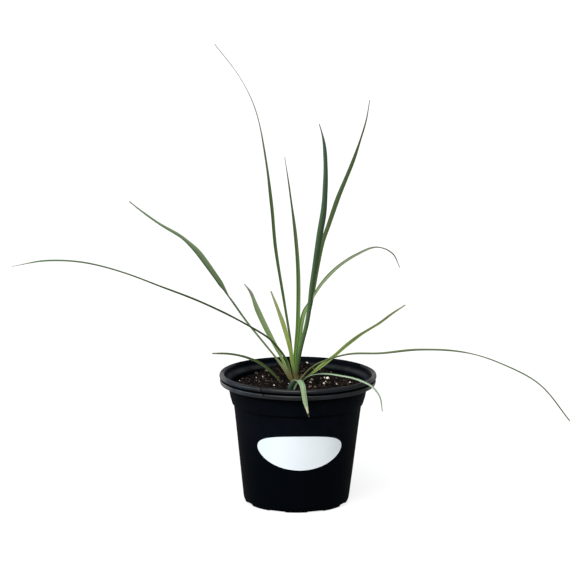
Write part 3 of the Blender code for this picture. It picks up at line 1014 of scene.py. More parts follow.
@dataclass
class PottingMix:
    """The soil: a rough bed with crumbs, bark chips, fibres and perlite lying on it."""

    pot: NurseryPot
    level: float = 85.7 * MM
    slope: float = 0.012
    mound: float = 2.1 * MM
    mound_spread: float = 22.0 * MM
    heap: float = 7.4 * MM
    heap_centre: Corner = (-4.0 * MM, 43.0 * MM)
    heap_spread: float = 18.0 * MM
    gap: float = 0.3 * MM
    crown_clearing: float = 5.0 * MM
    cells: int = 210
    crumbs: int = 6200
    chips: int = 120
    fibres: int = 700
    small_grains: int = 18
    strays: int = 110
    stray_tone: float = 0.75
    ledge_slope: float = 0.68

    # Grains that stand out in the photograph: x and y on the soil and size, in millimetres.
    grains = (
        (7.0, 46.2, 2.2), (10.5, 8.0, 1.9), (9.5, -1.5, 2.4), (19.6, 14.5, 2.1), (22.1, 14.5, 2.8),
        (20.7, 3.5, 1.7), (19.3, -3.5, 2.0), (28.6, 0.8, 1.5), (38.5, 7.0, 1.6), (46.0, 11.0, 1.2),
        (-25.5, 22.0, 1.2), (-17.0, -4.2, 1.3), (-6.4, -1.5, 1.3), (-36.7, 8.0, 1.0),
    )

    def top_radius(self) -> float:
        """Radius of the bed's upper edge."""
        return self.pot.neck_radius - self.pot.wall - 0.9 * MM - self.gap

    def surface(self, x: float, y: float) -> float:
        """Work out the soil's height: ripples and clods, a mound at the crown, a heap behind it.

        Args:
            x, y: The place, from the pot's axis.

        Returns:
            The height.
        """
        from_crown = math.hypot(x, y) / self.mound_spread
        from_heap = math.hypot(x - self.heap_centre[0], y - self.heap_centre[1]) / self.heap_spread
        mound = self.mound * math.exp(-0.5 * from_crown * from_crown)
        heap = self.heap * math.exp(-0.5 * from_heap * from_heap)
        ripple = 0.3 * MM * math.sin(x / (7.0 * MM)) * math.cos(y / (9.0 * MM) + 0.6)
        clods = 0.8 * MM * noise.noise(Vector((x, y, 0.0)) / (6.0 * MM))
        return self.level + self.slope * x + mound + heap + ripple + clods

    def rough(self, spot: Vector) -> Vector:
        """Raise a point of the flat bed to the crumbly surface.

        Args:
            spot: The point.

        Returns:
            Its place. A point below the bed's top stays where it is.
        """
        if spot.z < self.level - 0.1 * MM:
            return spot
        place = Vector((spot.x, spot.y, 0.0))
        crumb = 0.55 * MM * noise.noise(place / (2.1 * MM))
        fine = 0.3 * MM * noise.noise(place / (0.9 * MM))
        return Vector((spot.x, spot.y, self.surface(spot.x, spot.y) + crumb + fine))

    def build_bed(self) -> None:
        """Make the bed: a fine round sheet, carried down the pot's wall and closed below."""
        radius = self.top_radius()
        bpy.ops.mesh.primitive_grid_add(
            x_subdivisions=self.cells, y_subdivisions=self.cells, size=2.0 * radius,
            location=(0.0, 0.0, self.level),
        )
        bed = named("soil_bed")
        settle(bed)
        cell = 2.0 * radius / self.cells
        with editing(bed):
            bpy.ops.mesh.select_all(action="DESELECT")
        for vert in bed.data.vertices:
            vert.select = math.hypot(vert.co.x, vert.co.y) > radius - 0.5 * cell
        with editing(bed, everything=False):
            bpy.ops.mesh.delete(type="VERT")
        with editing(bed, everything=False):
            bpy.ops.mesh.select_all(action="DESELECT")
            bpy.ops.mesh.select_mode(type="EDGE")
            bpy.ops.mesh.select_non_manifold()
        for vert in bed.data.vertices:
            if vert.select:
                share = radius / math.hypot(vert.co.x, vert.co.y)
                vert.co = (vert.co.x * share, vert.co.y * share, self.level)
        wall = self.pot.wall + self.gap
        stations = (
            (radius, self.pot.neck_top),
            (self.pot.neck_radius - 2.7 * MM - wall, self.pot.shoulder_height + 2.6 * MM),
            (self.pot.shoulder_radius - wall, self.pot.shoulder_height + 0.2 * MM),
            (self.pot.body_radius(4.2 * MM) - wall, 4.4 * MM),
            (self.pot.base_radius - 3.4 * MM, self.pot.floor + self.gap),
        )
        with editing(bed, everything=False):
            here = (radius, self.level)
            for station in stations:
                drop = (0.0, 0.0, station[1] - here[1])
                bpy.ops.mesh.extrude_edges_move(TRANSFORM_OT_translate={"value": drop})
                share = station[0] / here[0]
                bpy.ops.transform.resize(
                    value=(share, share, 1.0), center_override=(0.0, 0.0, station[1])
                )
                here = station
            bpy.ops.mesh.edge_face_add()
            bpy.ops.mesh.select_mode(type="VERT")
            bpy.ops.mesh.select_all(action="SELECT")
            bpy.ops.mesh.normals_make_consistent(inside=False)
        reshape(bed, self.rough)
        bed.data.materials.append(EarthFinish().material())
        smooth(bed, 60.0)
        hand_over(bed, Slot.SOIL, "soil")

    def spot(self, draw: random.Random, margin: float) -> Vector:
        """Draw a place on the soil at random, inside the pot's wall and outside the crown.

        Args:
            draw: Where the random numbers come from.
            margin: How far the place stays from the soil's edge.

        Returns:
            The place.
        """
        while True:
            reach = (self.top_radius() - margin) * math.sqrt(draw.random())
            angle = draw.uniform(0.0, math.tau)
            if reach > self.crown_clearing:
                x, y = reach * math.cos(angle), reach * math.sin(angle)
                return Vector((x, y, self.surface(x, y)))

    def shapes(self, count: int, make: Callable[[int], None]) -> list[bpy.types.Object]:
        """Model a few variants of a small shape.

        Args:
            count: How many variants.
            make: Adds variant number n, as the active object.

        Returns:
            The variants.
        """
        variants = []
        for number in range(count):
            make(number)
            variants.append(named("variant"))
        return variants

    def add_lump(self, number: int) -> None:
        """Add an uneven lump of 20 faces.

        Args:
            number: Which variant it is.
        """
        bpy.ops.mesh.primitive_ico_sphere_add(subdivisions=1, radius=0.5)
        with editing(bpy.context.active_object):
            bpy.ops.transform.vertex_random(offset=0.2, seed=number)

    def add_grain(self, number: int) -> None:
        """Add a puffed grain of 80 faces.

        Args:
            number: Which variant it is.
        """
        bpy.ops.mesh.primitive_ico_sphere_add(subdivisions=2, radius=0.5)
        with editing(bpy.context.active_object):
            bpy.ops.transform.vertex_random(offset=0.1, seed=number)

    def add_chip(self, number: int) -> None:
        """Add a flat splinter of bark.

        Args:
            number: Which variant it is.
        """
        bpy.ops.mesh.primitive_cube_add(size=1.0)
        with editing(bpy.context.active_object):
            bpy.ops.mesh.subdivide(number_cuts=1)
            bpy.ops.transform.vertex_random(offset=0.16, seed=number)

    def add_fibre(self, number: int) -> None:
        """Add a thin bent root fibre, 1 unit long.

        Args:
            number: Which variant it is.
        """
        draw = random.Random(900 + number)
        bpy.ops.curve.primitive_bezier_curve_add()
        curve = bpy.context.active_object.data
        curve.resolution_u = 5
        curve.bevel_depth = 0.02
        curve.bevel_resolution = 0
        curve.use_fill_caps = True
        ends = curve.splines[0].bezier_points
        for index, end in enumerate(ends):
            end.handle_left_type = end.handle_right_type = "FREE"
            end.co = (index - 0.5, 0.0, 0.0)
            for key, sign in (("handle_left", -1.0), ("handle_right", 1.0)):
                bend = (draw.uniform(-0.35, 0.35), draw.uniform(-0.25, 0.35))
                setattr(end, key, (index - 0.5 + sign * 0.35, *bend))
        bpy.ops.object.convert(target="MESH")

    def tone(self, draw: random.Random) -> float:
        """A tone drawn at random, mostly dark."""
        return min(1.0, 0.1 + 0.9 * draw.random() ** 2.4)

    def strew_crumbs(self) -> None:
        """Lay crumbs of peat all over the bed, and a few on the ledge above it."""
        crumbs = Strewing(self.shapes(10, self.add_lump), 11)
        draw = crumbs.draw
        for _ in range(self.crumbs):
            size = (0.45 + 1.7 * draw.random() ** 3) * MM
            spot = self.spot(draw, size)
            spot.z += draw.uniform(-0.1, 0.35) * size
            stretch = Vector([draw.uniform(0.7, 1.35) for _ in range(3)])
            crumbs.add(spot, crumbs.any_turn(), stretch * size, self.tone(draw))
        ledge_foot = self.pot.neck_radius - self.pot.wall - 0.7 * MM
        ledge_level = self.pot.height - self.pot.rim_depth + 1.5 * MM
        for _ in range(self.strays):
            angle = draw.uniform(0.0, math.tau)
            out = draw.uniform(0.2, 4.2) * MM
            reach = ledge_foot + out
            size = draw.uniform(0.35, 0.9) * MM
            level = ledge_level + self.ledge_slope * out
            place = Vector((reach * math.cos(angle), reach * math.sin(angle), level))
            crumbs.add(place, crumbs.any_turn(), Vector((size,) * 3), self.stray_tone)
        hand_over(crumbs.piece("peat_crumbs", EarthFinish("peat", True).material()), Slot.SOIL)

    def strew_chips(self) -> None:
        """Lay flat bark chips about, some on edge."""
        chips = Strewing(self.shapes(8, self.add_chip), 12)
        draw = chips.draw
        for _ in range(self.chips):
            length = draw.uniform(1.8, 4.6) * MM
            spot = self.spot(draw, length * 0.6)
            spot.z += 0.3 * MM
            tip = (draw.gauss(0.0, 0.35), draw.gauss(0.0, 0.35))
            turn = Euler((*tip, draw.uniform(0.0, math.tau)))
            size = Vector((length, length * draw.uniform(0.25, 0.6), draw.uniform(0.5, 1.1) * MM))
            chips.add(spot, turn, size, self.tone(draw))
        hand_over(chips.piece("bark_chips", EarthFinish("bark", True).material()), Slot.SOIL)

    def strew_fibres(self) -> None:
        """Lay thin reddish fibres about."""
        fibres = Strewing(self.shapes(12, self.add_fibre), 13)
        draw = fibres.draw
        for _ in range(self.fibres):
            length = draw.uniform(3.0, 9.0) * MM
            spot = self.spot(draw, length * 0.6)
            spot.z += 0.4 * MM
            tip = (draw.uniform(0.0, math.tau), draw.gauss(0.0, 0.16))
            turn = Euler((*tip, draw.uniform(0.0, math.tau)))
            size = Vector((length, length * 0.8, length * 0.45))
            fibres.add(spot, turn, size, draw.uniform(0.5, 0.9))
        hand_over(fibres.piece("root_fibres", EarthFinish("fibre", True).material()), Slot.SOIL)

    def strew_perlite(self) -> None:
        """Lay the white grains: those that stand out in their places, small ones at random."""
        perlite = Strewing(self.shapes(9, self.add_grain), 14)
        draw = perlite.draw
        grains = [(x * MM, y * MM, size * MM) for x, y, size in self.grains]
        for _ in range(self.small_grains):
            place = self.spot(draw, 2.0 * MM)
            grains.append((place.x, place.y, draw.uniform(0.4, 1.0) * MM))
        for x, y, size in grains:
            spot = Vector((x, y, self.surface(x, y) + 0.3 * size))
            stretch = Vector([draw.uniform(0.75, 1.15) for _ in range(3)])
            perlite.add(spot, perlite.any_turn(), stretch * size, 0.5)
        piece = perlite.piece("perlite_grains", PerliteFinish().material())
        smooth(piece, 50.0)
        hand_over(piece, Slot.SOIL)

    def build(self) -> None:
        """Make the bed and all that lies on it."""
        self.build_bed()
        self.strew_crumbs()
        self.strew_chips()
        self.strew_fibres()
        self.strew_perlite()


def smooth_line(points: Sequence[Vector], steps: int = 12) -> list[Vector]:
    """Draw a smooth curve through points.

    Args:
        points: The points.
        steps: How many points the curve gets for each of them.

    Returns:
        Points close together along the curve.
    """
    ends = [2 * points[0] - points[1], *points, 2 * points[-1] - points[-2]]
    line = [points[0]]
    for before, start, stop, after in zip(ends, ends[1:], ends[2:], ends[3:]):
        reach = (stop - start).length / 3
        leave = start + (stop - before).normalized() * reach
        arrive = stop - (after - start).normalized() * reach
        line += interpolate_bezier(start, leave, arrive, stop, steps)[1:]
    return line


def evenly_spaced(line: Sequence[Vector], count: int) -> list[Vector]:
    """Read points from a line at equal distances along it.

    Args:
        line: The line's points.
        count: How many to read, both ends included.

    Returns:
        The points read.
    """
    travelled = [0.0]
    for start, stop in zip(line, line[1:]):
        travelled.append(travelled[-1] + (stop - start).length)
    places = []
    index = 0
    for step in range(count):
        target = travelled[-1] * step / (count - 1)
        while index < len(line) - 2 and travelled[index + 1] < target:
            index += 1
        share = (target - travelled[index]) / (travelled[index + 1] - travelled[index])
        places.append(line[index].lerp(line[index + 1], share))
    return places


def length_of(line: Sequence[Vector]) -> float:
    """Length of a line of points."""
    return sum((stop - start).length for start, stop in zip(line, line[1:]))


def eased(values: Sequence[float], along: float) -> float:
    """Read evenly spaced values at a share of their span.

    Args:
        values: The values.
        along: The share, from 0 to 1.

    Returns:
        The value there, eased from one to the next.
    """
    spans = len(values) - 1
    index = min(int(along * spans), spans - 1)
    share = along * spans - index
    share = share * share * (3 - 2 * share)
    return values[index] + (values[index + 1] - values[index]) * share


# How each kind of leaf looks. No two leaves of the plant have quite the same colours.
FOOT = paint(104, 90, 56)
SLATE = LeafFinish(
    foot=FOOT, low=paint(74, 94, 50), middle=paint(70, 90, 52), high=paint(104, 112, 92),
    tip=paint(122, 118, 112), margin=paint(106, 124, 90),
)
DARK = LeafFinish(
    foot=FOOT, low=paint(78, 98, 52), middle=paint(78, 98, 52), high=paint(84, 114, 74),
    tip=paint(110, 116, 92), margin=paint(112, 134, 90),
)
OLIVE = LeafFinish(
    foot=FOOT, low=paint(88, 120, 40), middle=paint(66, 84, 44), high=paint(54, 68, 46),
    tip=paint(100, 96, 82), margin=paint(112, 130, 82),
)
DEEP = LeafFinish(
    foot=paint(46, 52, 26), low=paint(62, 80, 32), middle=paint(54, 72, 32), high=paint(48, 60, 32),
    tip=paint(80, 78, 58), margin=paint(86, 106, 58),
)
# SHADED gives leaf J darker greens: painted shade, for a leaf that lies in shade.
SHADED = LeafFinish(
    foot=paint(38, 44, 22), low=paint(42, 56, 20), middle=paint(48, 60, 26), high=paint(64, 70, 40),
    tip=paint(92, 90, 66), margin=paint(84, 98, 54),
)
# BLUE, GREY_GREEN, SILVER and CREAM_TIP paint shade on one half of the blade.
BLUE = LeafFinish(
    foot=FOOT, low=paint(88, 112, 70), middle=paint(76, 100, 68), high=paint(74, 96, 78),
    tip=paint(92, 96, 88), margin=paint(134, 158, 124), streaks=0.7, painted_shade_half=0.36,
    dark_from=0.24, dark_to=0.34,
)
GREY_GREEN = LeafFinish(
    foot=FOOT, low=paint(84, 122, 38), middle=paint(122, 134, 98), high=paint(122, 124, 106),
    tip=paint(132, 120, 108), margin=paint(120, 136, 92), streaks=0.7, painted_shade_half=0.8,
    dark_from=0.74, dark_to=0.8,
)
STRAW = LeafFinish(
    foot=paint(150, 138, 108), low=paint(98, 106, 66), middle=paint(72, 92, 46),
    high=paint(66, 82, 50), tip=paint(104, 98, 78), margin=paint(124, 134, 92),
)
MOSS = LeafFinish(
    foot=FOOT, low=paint(100, 106, 68), middle=paint(70, 86, 56), high=paint(102, 118, 88),
    tip=paint(122, 124, 110), margin=paint(122, 142, 102), streaks=0.9, specks=0.25,
)
PALE = LeafFinish(
    foot=FOOT, low=paint(104, 124, 70), middle=paint(96, 112, 70), high=paint(98, 112, 84),
    tip=paint(104, 102, 92), margin=paint(138, 154, 116), specks=0.5, tip_from=0.84,
)
# HAY's very dark foot is painted shade where the leaf runs low among the others near the crown, and
# the shade along its crease is painted shade.
HAY = LeafFinish(
    foot=paint(34, 38, 22), low=paint(120, 140, 72), middle=paint(114, 128, 74),
    high=paint(112, 116, 82), tip=paint(134, 128, 104), margin=paint(152, 166, 110),
    streaks=0.8, painted_crease_shade=0.75,
)
YELLOW = LeafFinish(
    foot=FOOT, low=paint(152, 174, 94), middle=paint(184, 204, 112), high=paint(180, 188, 128),
    tip=paint(176, 176, 140), margin=paint(190, 202, 138), tip_from=0.9,
)
SILVER = LeafFinish(
    foot=paint(70, 84, 50), low=paint(84, 112, 72), middle=paint(156, 178, 150),
    high=paint(160, 178, 154), tip=paint(180, 176, 150), margin=paint(188, 204, 180), streaks=0.8,
    painted_shade_half=0.95, dark_from=0.8, dark_to=0.86,
)
CREAM_TIP = LeafFinish(
    foot=paint(84, 100, 76), low=paint(80, 108, 84), middle=paint(104, 132, 106),
    high=paint(148, 168, 132), tip=paint(204, 196, 166), margin=paint(164, 184, 146),
    streaks=0.9, tip_from=0.9, painted_shade_half=0.4, dark_from=0.7, dark_to=0.78, point=paint(58, 50, 38),
)


@dataclass(frozen=True)
class LeafPlan:
    """One blade: the line that its middle follows, base to tip, and its width, in millimetres.

    The twist turns the blade about its own line, in degrees at places evenly spaced along it. The
    shares are its width at such places, as shares of the widest.
    """

    node: str
    route: tuple[Point, ...]
    width: float
    finish: LeafFinish
    twist: tuple[float, ...] = (0.0, 0.0)
    shares: tuple[float, ...] = (1.0, 1.0)
    fold: float = 0.62


# The leaves in the part's order. Each line starts where the leaf leaves the crown or the soil.
LEAVES = (
    LeafPlan(
        "leaf_a",
        ((-2.9, 1.7, 97), (-3.7, 5, 104.2), (-4.6, 7, 111.3), (-6.1, 10, 121.8), (-10.2, 17, 145),
         (-16.7, 27, 182), (-20, 35, 214), (-24.6, 41, 249), (-31.4, 46, 281), (-43.0, 50, 305.2),
         (-62, 52, 330)),
        3.2,
        SLATE,
        shares=(0.7, 0.7, 0.9, 1.08, 1.08, 0.6, 0.3, 0.18, 0.2),
    ),
    LeafPlan(
        "leaf_b",
        ((-1.2, 3.4, 97), (-1.9, 7, 103.8), (-1.1, 12, 114), (0, 19, 128), (0.1, 34, 161),
         (-2, 47, 188), (-6.9, 66, 222), (-10.5, 80, 243)),
        3.2,
        OLIVE,
        twist=(0, 10, 20),
        shares=(0.75, 0.95, 0.97, 0.87, 0.43, 0.16),
    ),
    LeafPlan(
        "leaf_c",
        ((-0.3, -3.2, 97.4), (0.8, -6, 107), (2.2, -8, 114.4), (3.9, -9.5, 122.2),
         (6.6, -12, 133.8), (8.5, -15, 147), (10.3, -19, 164.5), (12.8, -24, 182.2),
         (15.5, -32, 203.2), (18, -38, 220.7), (19, -43, 240), (19, -45.5, 255),
         (18.2, -47, 268), (16.7, -48, 276.3), (14.3, -48, 284.8)),
        4.8,
        BLUE,
        shares=(0.58, 0.65, 0.68, 0.78, 0.93, 1.0, 0.78, 0.6, 0.14),
        fold=0.95,
    ),
    LeafPlan(
        "leaf_d",
        ((0, 1.2, 97), (1.4, 8, 104.4), (3.2, 14, 113.6), (7.1, 22, 130.7), (10.7, 32, 147.5),
         (14.2, 42, 165.9), (18, 52, 182.9), (22.4, 58, 194.7), (29.3, 64, 214.4),
         (34.9, 70, 227.4), (40.9, 76, 241.6), (45.9, 82, 255.8), (50.3, 88, 270.1),
         (52.8, 92, 284.5)),
        3.6,
        DEEP,
        shares=(0.5, 0.7, 0.95, 1.0, 1.0, 1.08, 0.88, 0.38, 0.16),
    ),
    LeafPlan(
        "leaf_e",
        ((-0.4, 0.4, 97.2), (0, 1, 105.8), (1.2, 2, 115.3), (2.8, 3.2, 128.5), (4.0, 4.2, 135.7),
         (5.6, 5.4, 141), (8.1, 7, 145.2), (12.1, 10, 151.7), (18, 13, 160), (30, 21, 171),
         (44, 31, 178.4), (58, 43, 181.6), (70, 53, 175), (75.6, 58, 163.6)),
        3.6,
        GREY_GREEN,
        shares=(0.65, 1.05, 1.35, 0.85, 1.2, 1.1, 0.8, 0.52, 0.22),
    ),
    LeafPlan(
        "leaf_f",
        ((-5.8, 1, 92.4), (-9.3, 3, 97.5), (-16.5, 10, 105.5), (-26.2, 18, 115.6),
         (-38.1, 25.5, 129), (-49.7, 33, 143.9), (-61.3, 42, 159), (-73.4, 49, 174.6),
         (-80.1, 52, 181.2), (-87.6, 54.5, 187.1), (-102.6, 58.5, 195.2), (-117.6, 61, 205.4),
         (-125.5, 62, 211.6)),
        4.4,
        MOSS,
        twist=(-60, -15, 0, 5, 70, 85, 90, 90, 90),
        shares=(0.55, 0.42, 0.5, 0.62, 1.3, 1.18, 0.58, 0.38, 0.2),
    ),
    LeafPlan(
        "leaf_g",
        ((-5, -3.4, 93.5), (-5.9, -3.4, 98.6), (-7.4, -4, 104.3), (-9.1, -5, 107.8),
         (-12.8, -7.5, 113.9), (-20, -12, 123), (-29, -16, 130), (-47, -25, 142),
         (-70, -35, 155), (-95, -46, 167), (-125, -60, 181), (-151, -74, 190), (-176, -86, 193),
         (-198, -98, 191)),
        3.4,
        DARK,
        shares=(0.85, 0.95, 1.05, 1.4, 1.25, 0.9, 0.88, 0.86, 0.16),
    ),
    LeafPlan(
        "leaf_h",
        ((-4.8, 3.6, 92), (-7.7, 4.8, 96.9), (-9.7, 9, 100.9), (-14.8, 19, 108.7),
         (-18.9, 26, 115.1), (-23.4, 31.5, 122.5), (-30, 44, 134), (-35, 57, 144), (-40, 66, 149)),
        4.0,
        PALE,
        shares=(0.5, 0.52, 0.8, 1.0, 1.0, 0.65, 0.2),
        twist=(-10, -25, -20),
    ),
    LeafPlan(
        "leaf_i",
        ((-2.8, -2.2, 97), (-4, -6, 105), (-5, -10, 113), (-8, -17, 126), (-11.4, -24, 139),
         (-15.5, -31, 152), (-19.3, -36, 163)),
        3.8,
        YELLOW,
        shares=(0.7, 0.82, 0.88, 1.0, 0.7, 0.35),
    ),
    LeafPlan(
        "leaf_j",
        ((-11.9, -2.2, 88), (-13.1, 0, 89.6), (-14.7, 2.5, 91.3), (-16.7, 5.5, 92.6),
         (-20.1, 11, 94.6), (-27.6, 21.5, 98), (-35.1, 29, 99.7), (-42.7, 38, 100.1),
         (-51.7, 46, 99.8), (-63.6, 54, 98.4)),
        3.4,
        SHADED,
        twist=(0, -4, -10, -18),
        shares=(0.35, 0.6, 0.85, 0.9, 0.85, 0.85, 0.85, 0.8, 0.5),
    ),
    LeafPlan(
        "leaf_k",
        ((4.1, 3.4, 90.8), (8.4, 5.5, 92.6), (12.4, 8.5, 94.8), (20.2, 18, 99),
         (28.3, 29, 103.2), (35.1, 37, 107.5), (46.3, 49, 113.9), (53.9, 57, 117),
         (61.5, 64, 120.3), (70.6, 70, 126.1), (80.6, 74, 132.2)),
        3.8,
        HAY,
        shares=(0.2, 0.95, 0.82, 1.0, 0.82, 0.85, 0.42),
        twist=(15, 15, 10, 0, -5),
    ),
    LeafPlan(
        "leaf_l",
        ((2.8, -4.6, 92.4), (6.9, -5.5, 97.8), (10.5, -6, 101), (14.1, -6.5, 103.7),
         (18.5, -7.5, 105.9), (23.5, -8.5, 108.2), (37.9, -11, 112.3), (60, -15, 113.8),
         (89, -20, 117.7), (120, -25, 117), (145, -28, 110), (174, -31, 95), (196, -34, 69)),
        3.0,
        STRAW,
        twist=(0, 0, 0, 0, 30, 50),
        shares=(1.1, 0.75, 1.0, 1.2, 0.94, 0.5, 0.45, 0.35, 0.32),
    ),
    LeafPlan(
        "leaf_m",
        ((3.9, -2.8, 89.9), (7.7, -6.5, 93.8), (10.6, -9, 95.6), (16.3, -14, 97.8),
         (23.5, -20, 99), (30.6, -25, 99), (37.8, -29, 98.6), (44.9, -32.5, 97.3),
         (52.1, -35.5, 94.6), (56.4, -37, 90.8), (59.5, -38, 85.4), (61, -38, 76)),
        3.3,
        SILVER,
        shares=(0.8, 0.9, 1.0, 1.0, 0.95, 0.9, 0.72, 0.5, 0.3),
    ),
    LeafPlan(
        "leaf_n",
        ((-0.6, -5.8, 89.5), (-2.4, -14, 89.4), (-3.8, -26, 89.2), (-5, -36, 90.6),
         (-4.3, -41, 94.4), (-2.8, -45.5, 98.3), (-0.9, -49.5, 100.9), (1.4, -54, 101.3),
         (3.4, -57.6, 99.4), (4.3, -59.8, 95.6), (5.6, -61, 88), (8.4, -61, 77)),
        4.2,
        CREAM_TIP,
        shares=(0.8, 1.0, 1.0, 1.0, 0.95, 0.8, 0.2),
    ),
)


@dataclass
class Station:
    """One place along a blade: its centre and directions, and the shape of the blade there."""

    centre: Vector
    side: Vector
    up: Vector
    half_width: float
    fold: float
    clasp: float
    travelled: float


@dataclass
class Blade:
    """A leaf: a channelled blade, with a foot that clasps the crown below it."""

    plan: LeafPlan
    spacing: float = 1.7 * MM
    columns: int = 16
    foot_rows: int = 9
    foot_height: float = 84.0 * MM
    foot_share: float = 0.4
    foot_width: float = 2.9 * MM
    fold_kept: float = 0.5
    thickness: float = 0.66 * MM
    thin_edge: float = 0.4
    ribs: int = 5
    rib_height: float = 0.05 * MM
    margin_wave: float = 0.14 * MM
    wave_length: float = 17.0 * MM
    keel_rounding: float = 0.03

    def width_share(self, along: float) -> float:
        """Width as a share of the widest, from the blade's base (0) to its tip (1)."""
        return eased(self.plan.shares, min(along, 1.0))

    def stations(self) -> list[Station]:
        """Lay out the foot and then the blade.

        Returns:
            Places along them, with the blade's directions and shape at each.
        """
        points = [Vector(point) * MM for point in self.plan.route]
        curve = smooth_line(points)
        rows = max(50, round(length_of(curve) / self.spacing))
        blade = evenly_spaced(curve, rows)
        base = points[0]
        foot = Vector((base.x * self.foot_share, base.y * self.foot_share, self.foot_height))
        rise = (base - foot).length / 2.5
        leave = foot + Vector((0.0, 0.0, rise))
        arrive = base - (blade[1] - blade[0]).normalized() * rise
        below = interpolate_bezier(foot, leave, arrive, base, self.foot_rows + 1)[:-1]
        centres = [*below, *blade]
        heading = points[-1] - points[0]
        sideways = Vector((-heading.y, heading.x, 0.0)).normalized()
        stations = []
        travelled = 0.0
        for index, centre in enumerate(centres):
            behind = centres[max(index - 1, 0)]
            ahead = centres[min(index + 1, len(centres) - 1)]
            forward = (ahead - behind).normalized()
            along = max(0.0, (index - self.foot_rows) / (rows - 1))
            clasp = max(0.0, 1.0 - index / self.foot_rows)
            turn = Matrix.Rotation(math.radians(eased(self.plan.twist, along)), 3, forward)
            side = turn @ (sideways - forward * sideways.dot(forward)).normalized()
            blade_width = self.plan.width * MM * self.width_share(along)
            ease = clasp * clasp * (3 - 2 * clasp)
            half_width = (blade_width + (self.foot_width - blade_width) * ease) / 2
            travelled += (centre - behind).length
            stations.append(
                Station(
                    centre, side, forward.cross(side), half_width,
                    self.plan.fold * (1.0 - (1.0 - self.fold_kept) * along), ease, travelled,
                )
            )
        return stations

    def across_shape(self, station: Station, across: float) -> tuple[float, float]:
        """Where a point of the cross-section lies.

        Args:
            station: The place along the blade.
            across: The point's place from one margin (-1) to the other (1).

        Returns:
            How far sideways and how far up it lies from the blade's middle line.
        """
        keel = math.sqrt(across * across + self.keel_rounding)
        bump = math.cos(math.tau * self.ribs * across / 2)
        ribs = self.rib_height * bump * (1.0 - across * across)
        phase = station.travelled / self.wave_length + (1.3 if across > 0 else 0.0)
        wave = self.margin_wave * noise.noise(Vector((phase, across, station.half_width / MM)))
        lift = (keel - 0.5) * station.fold * station.half_width + ribs + wave * across * across
        wrap = 1.75 * across
        radius = station.half_width / 1.45
        round_side = radius * math.sin(wrap)
        round_lift = radius * (1.0 - math.cos(wrap)) - 0.3 * radius
        flat_side = across * station.half_width
        share = station.clasp
        return flat_side + (round_side - flat_side) * share, lift + (round_lift - lift) * share

    def build(self) -> bpy.types.Object:
        """Make, dress and hand over the leaf.

        Returns:
            The leaf.
        """
        stations = self.stations()
        rows = len(stations) - 1
        bpy.ops.mesh.primitive_grid_add(
            x_subdivisions=self.columns, y_subdivisions=rows, size=2.0
        )
        leaf = named(self.plan.node.replace("leaf", "blade"))
        total = stations[-1].travelled
        for loop in leaf.data.uv_layers.active.data:
            loop.uv.y = stations[round(loop.uv.y * rows)].travelled / total
        thick = leaf.vertex_groups.new(name="thick")
        for vert in leaf.data.vertices:
            station = stations[round((vert.co.y + 1.0) / 2 * rows)]
            across = vert.co.x
            sideways, upwards = self.across_shape(station, across)
            vert.co = station.centre + station.side * sideways + station.up * upwards
            slim = min(1.0, station.half_width / (1.0 * MM))
            weight = (1.0 - (1.0 - self.thin_edge) * abs(across) ** 3) * slim
            thick.add([vert.index], weight, "REPLACE")
        modify(leaf, "SOLIDIFY", thickness=self.thickness, offset=0.0, vertex_group="thick")
        material = self.plan.finish.material(leaf.name, total / MM, self.plan.width)
        leaf.data.materials.append(material)
        smooth(leaf, 70.0)
        hand_over(leaf, Slot.LEAF, self.plan.node)
        return leaf


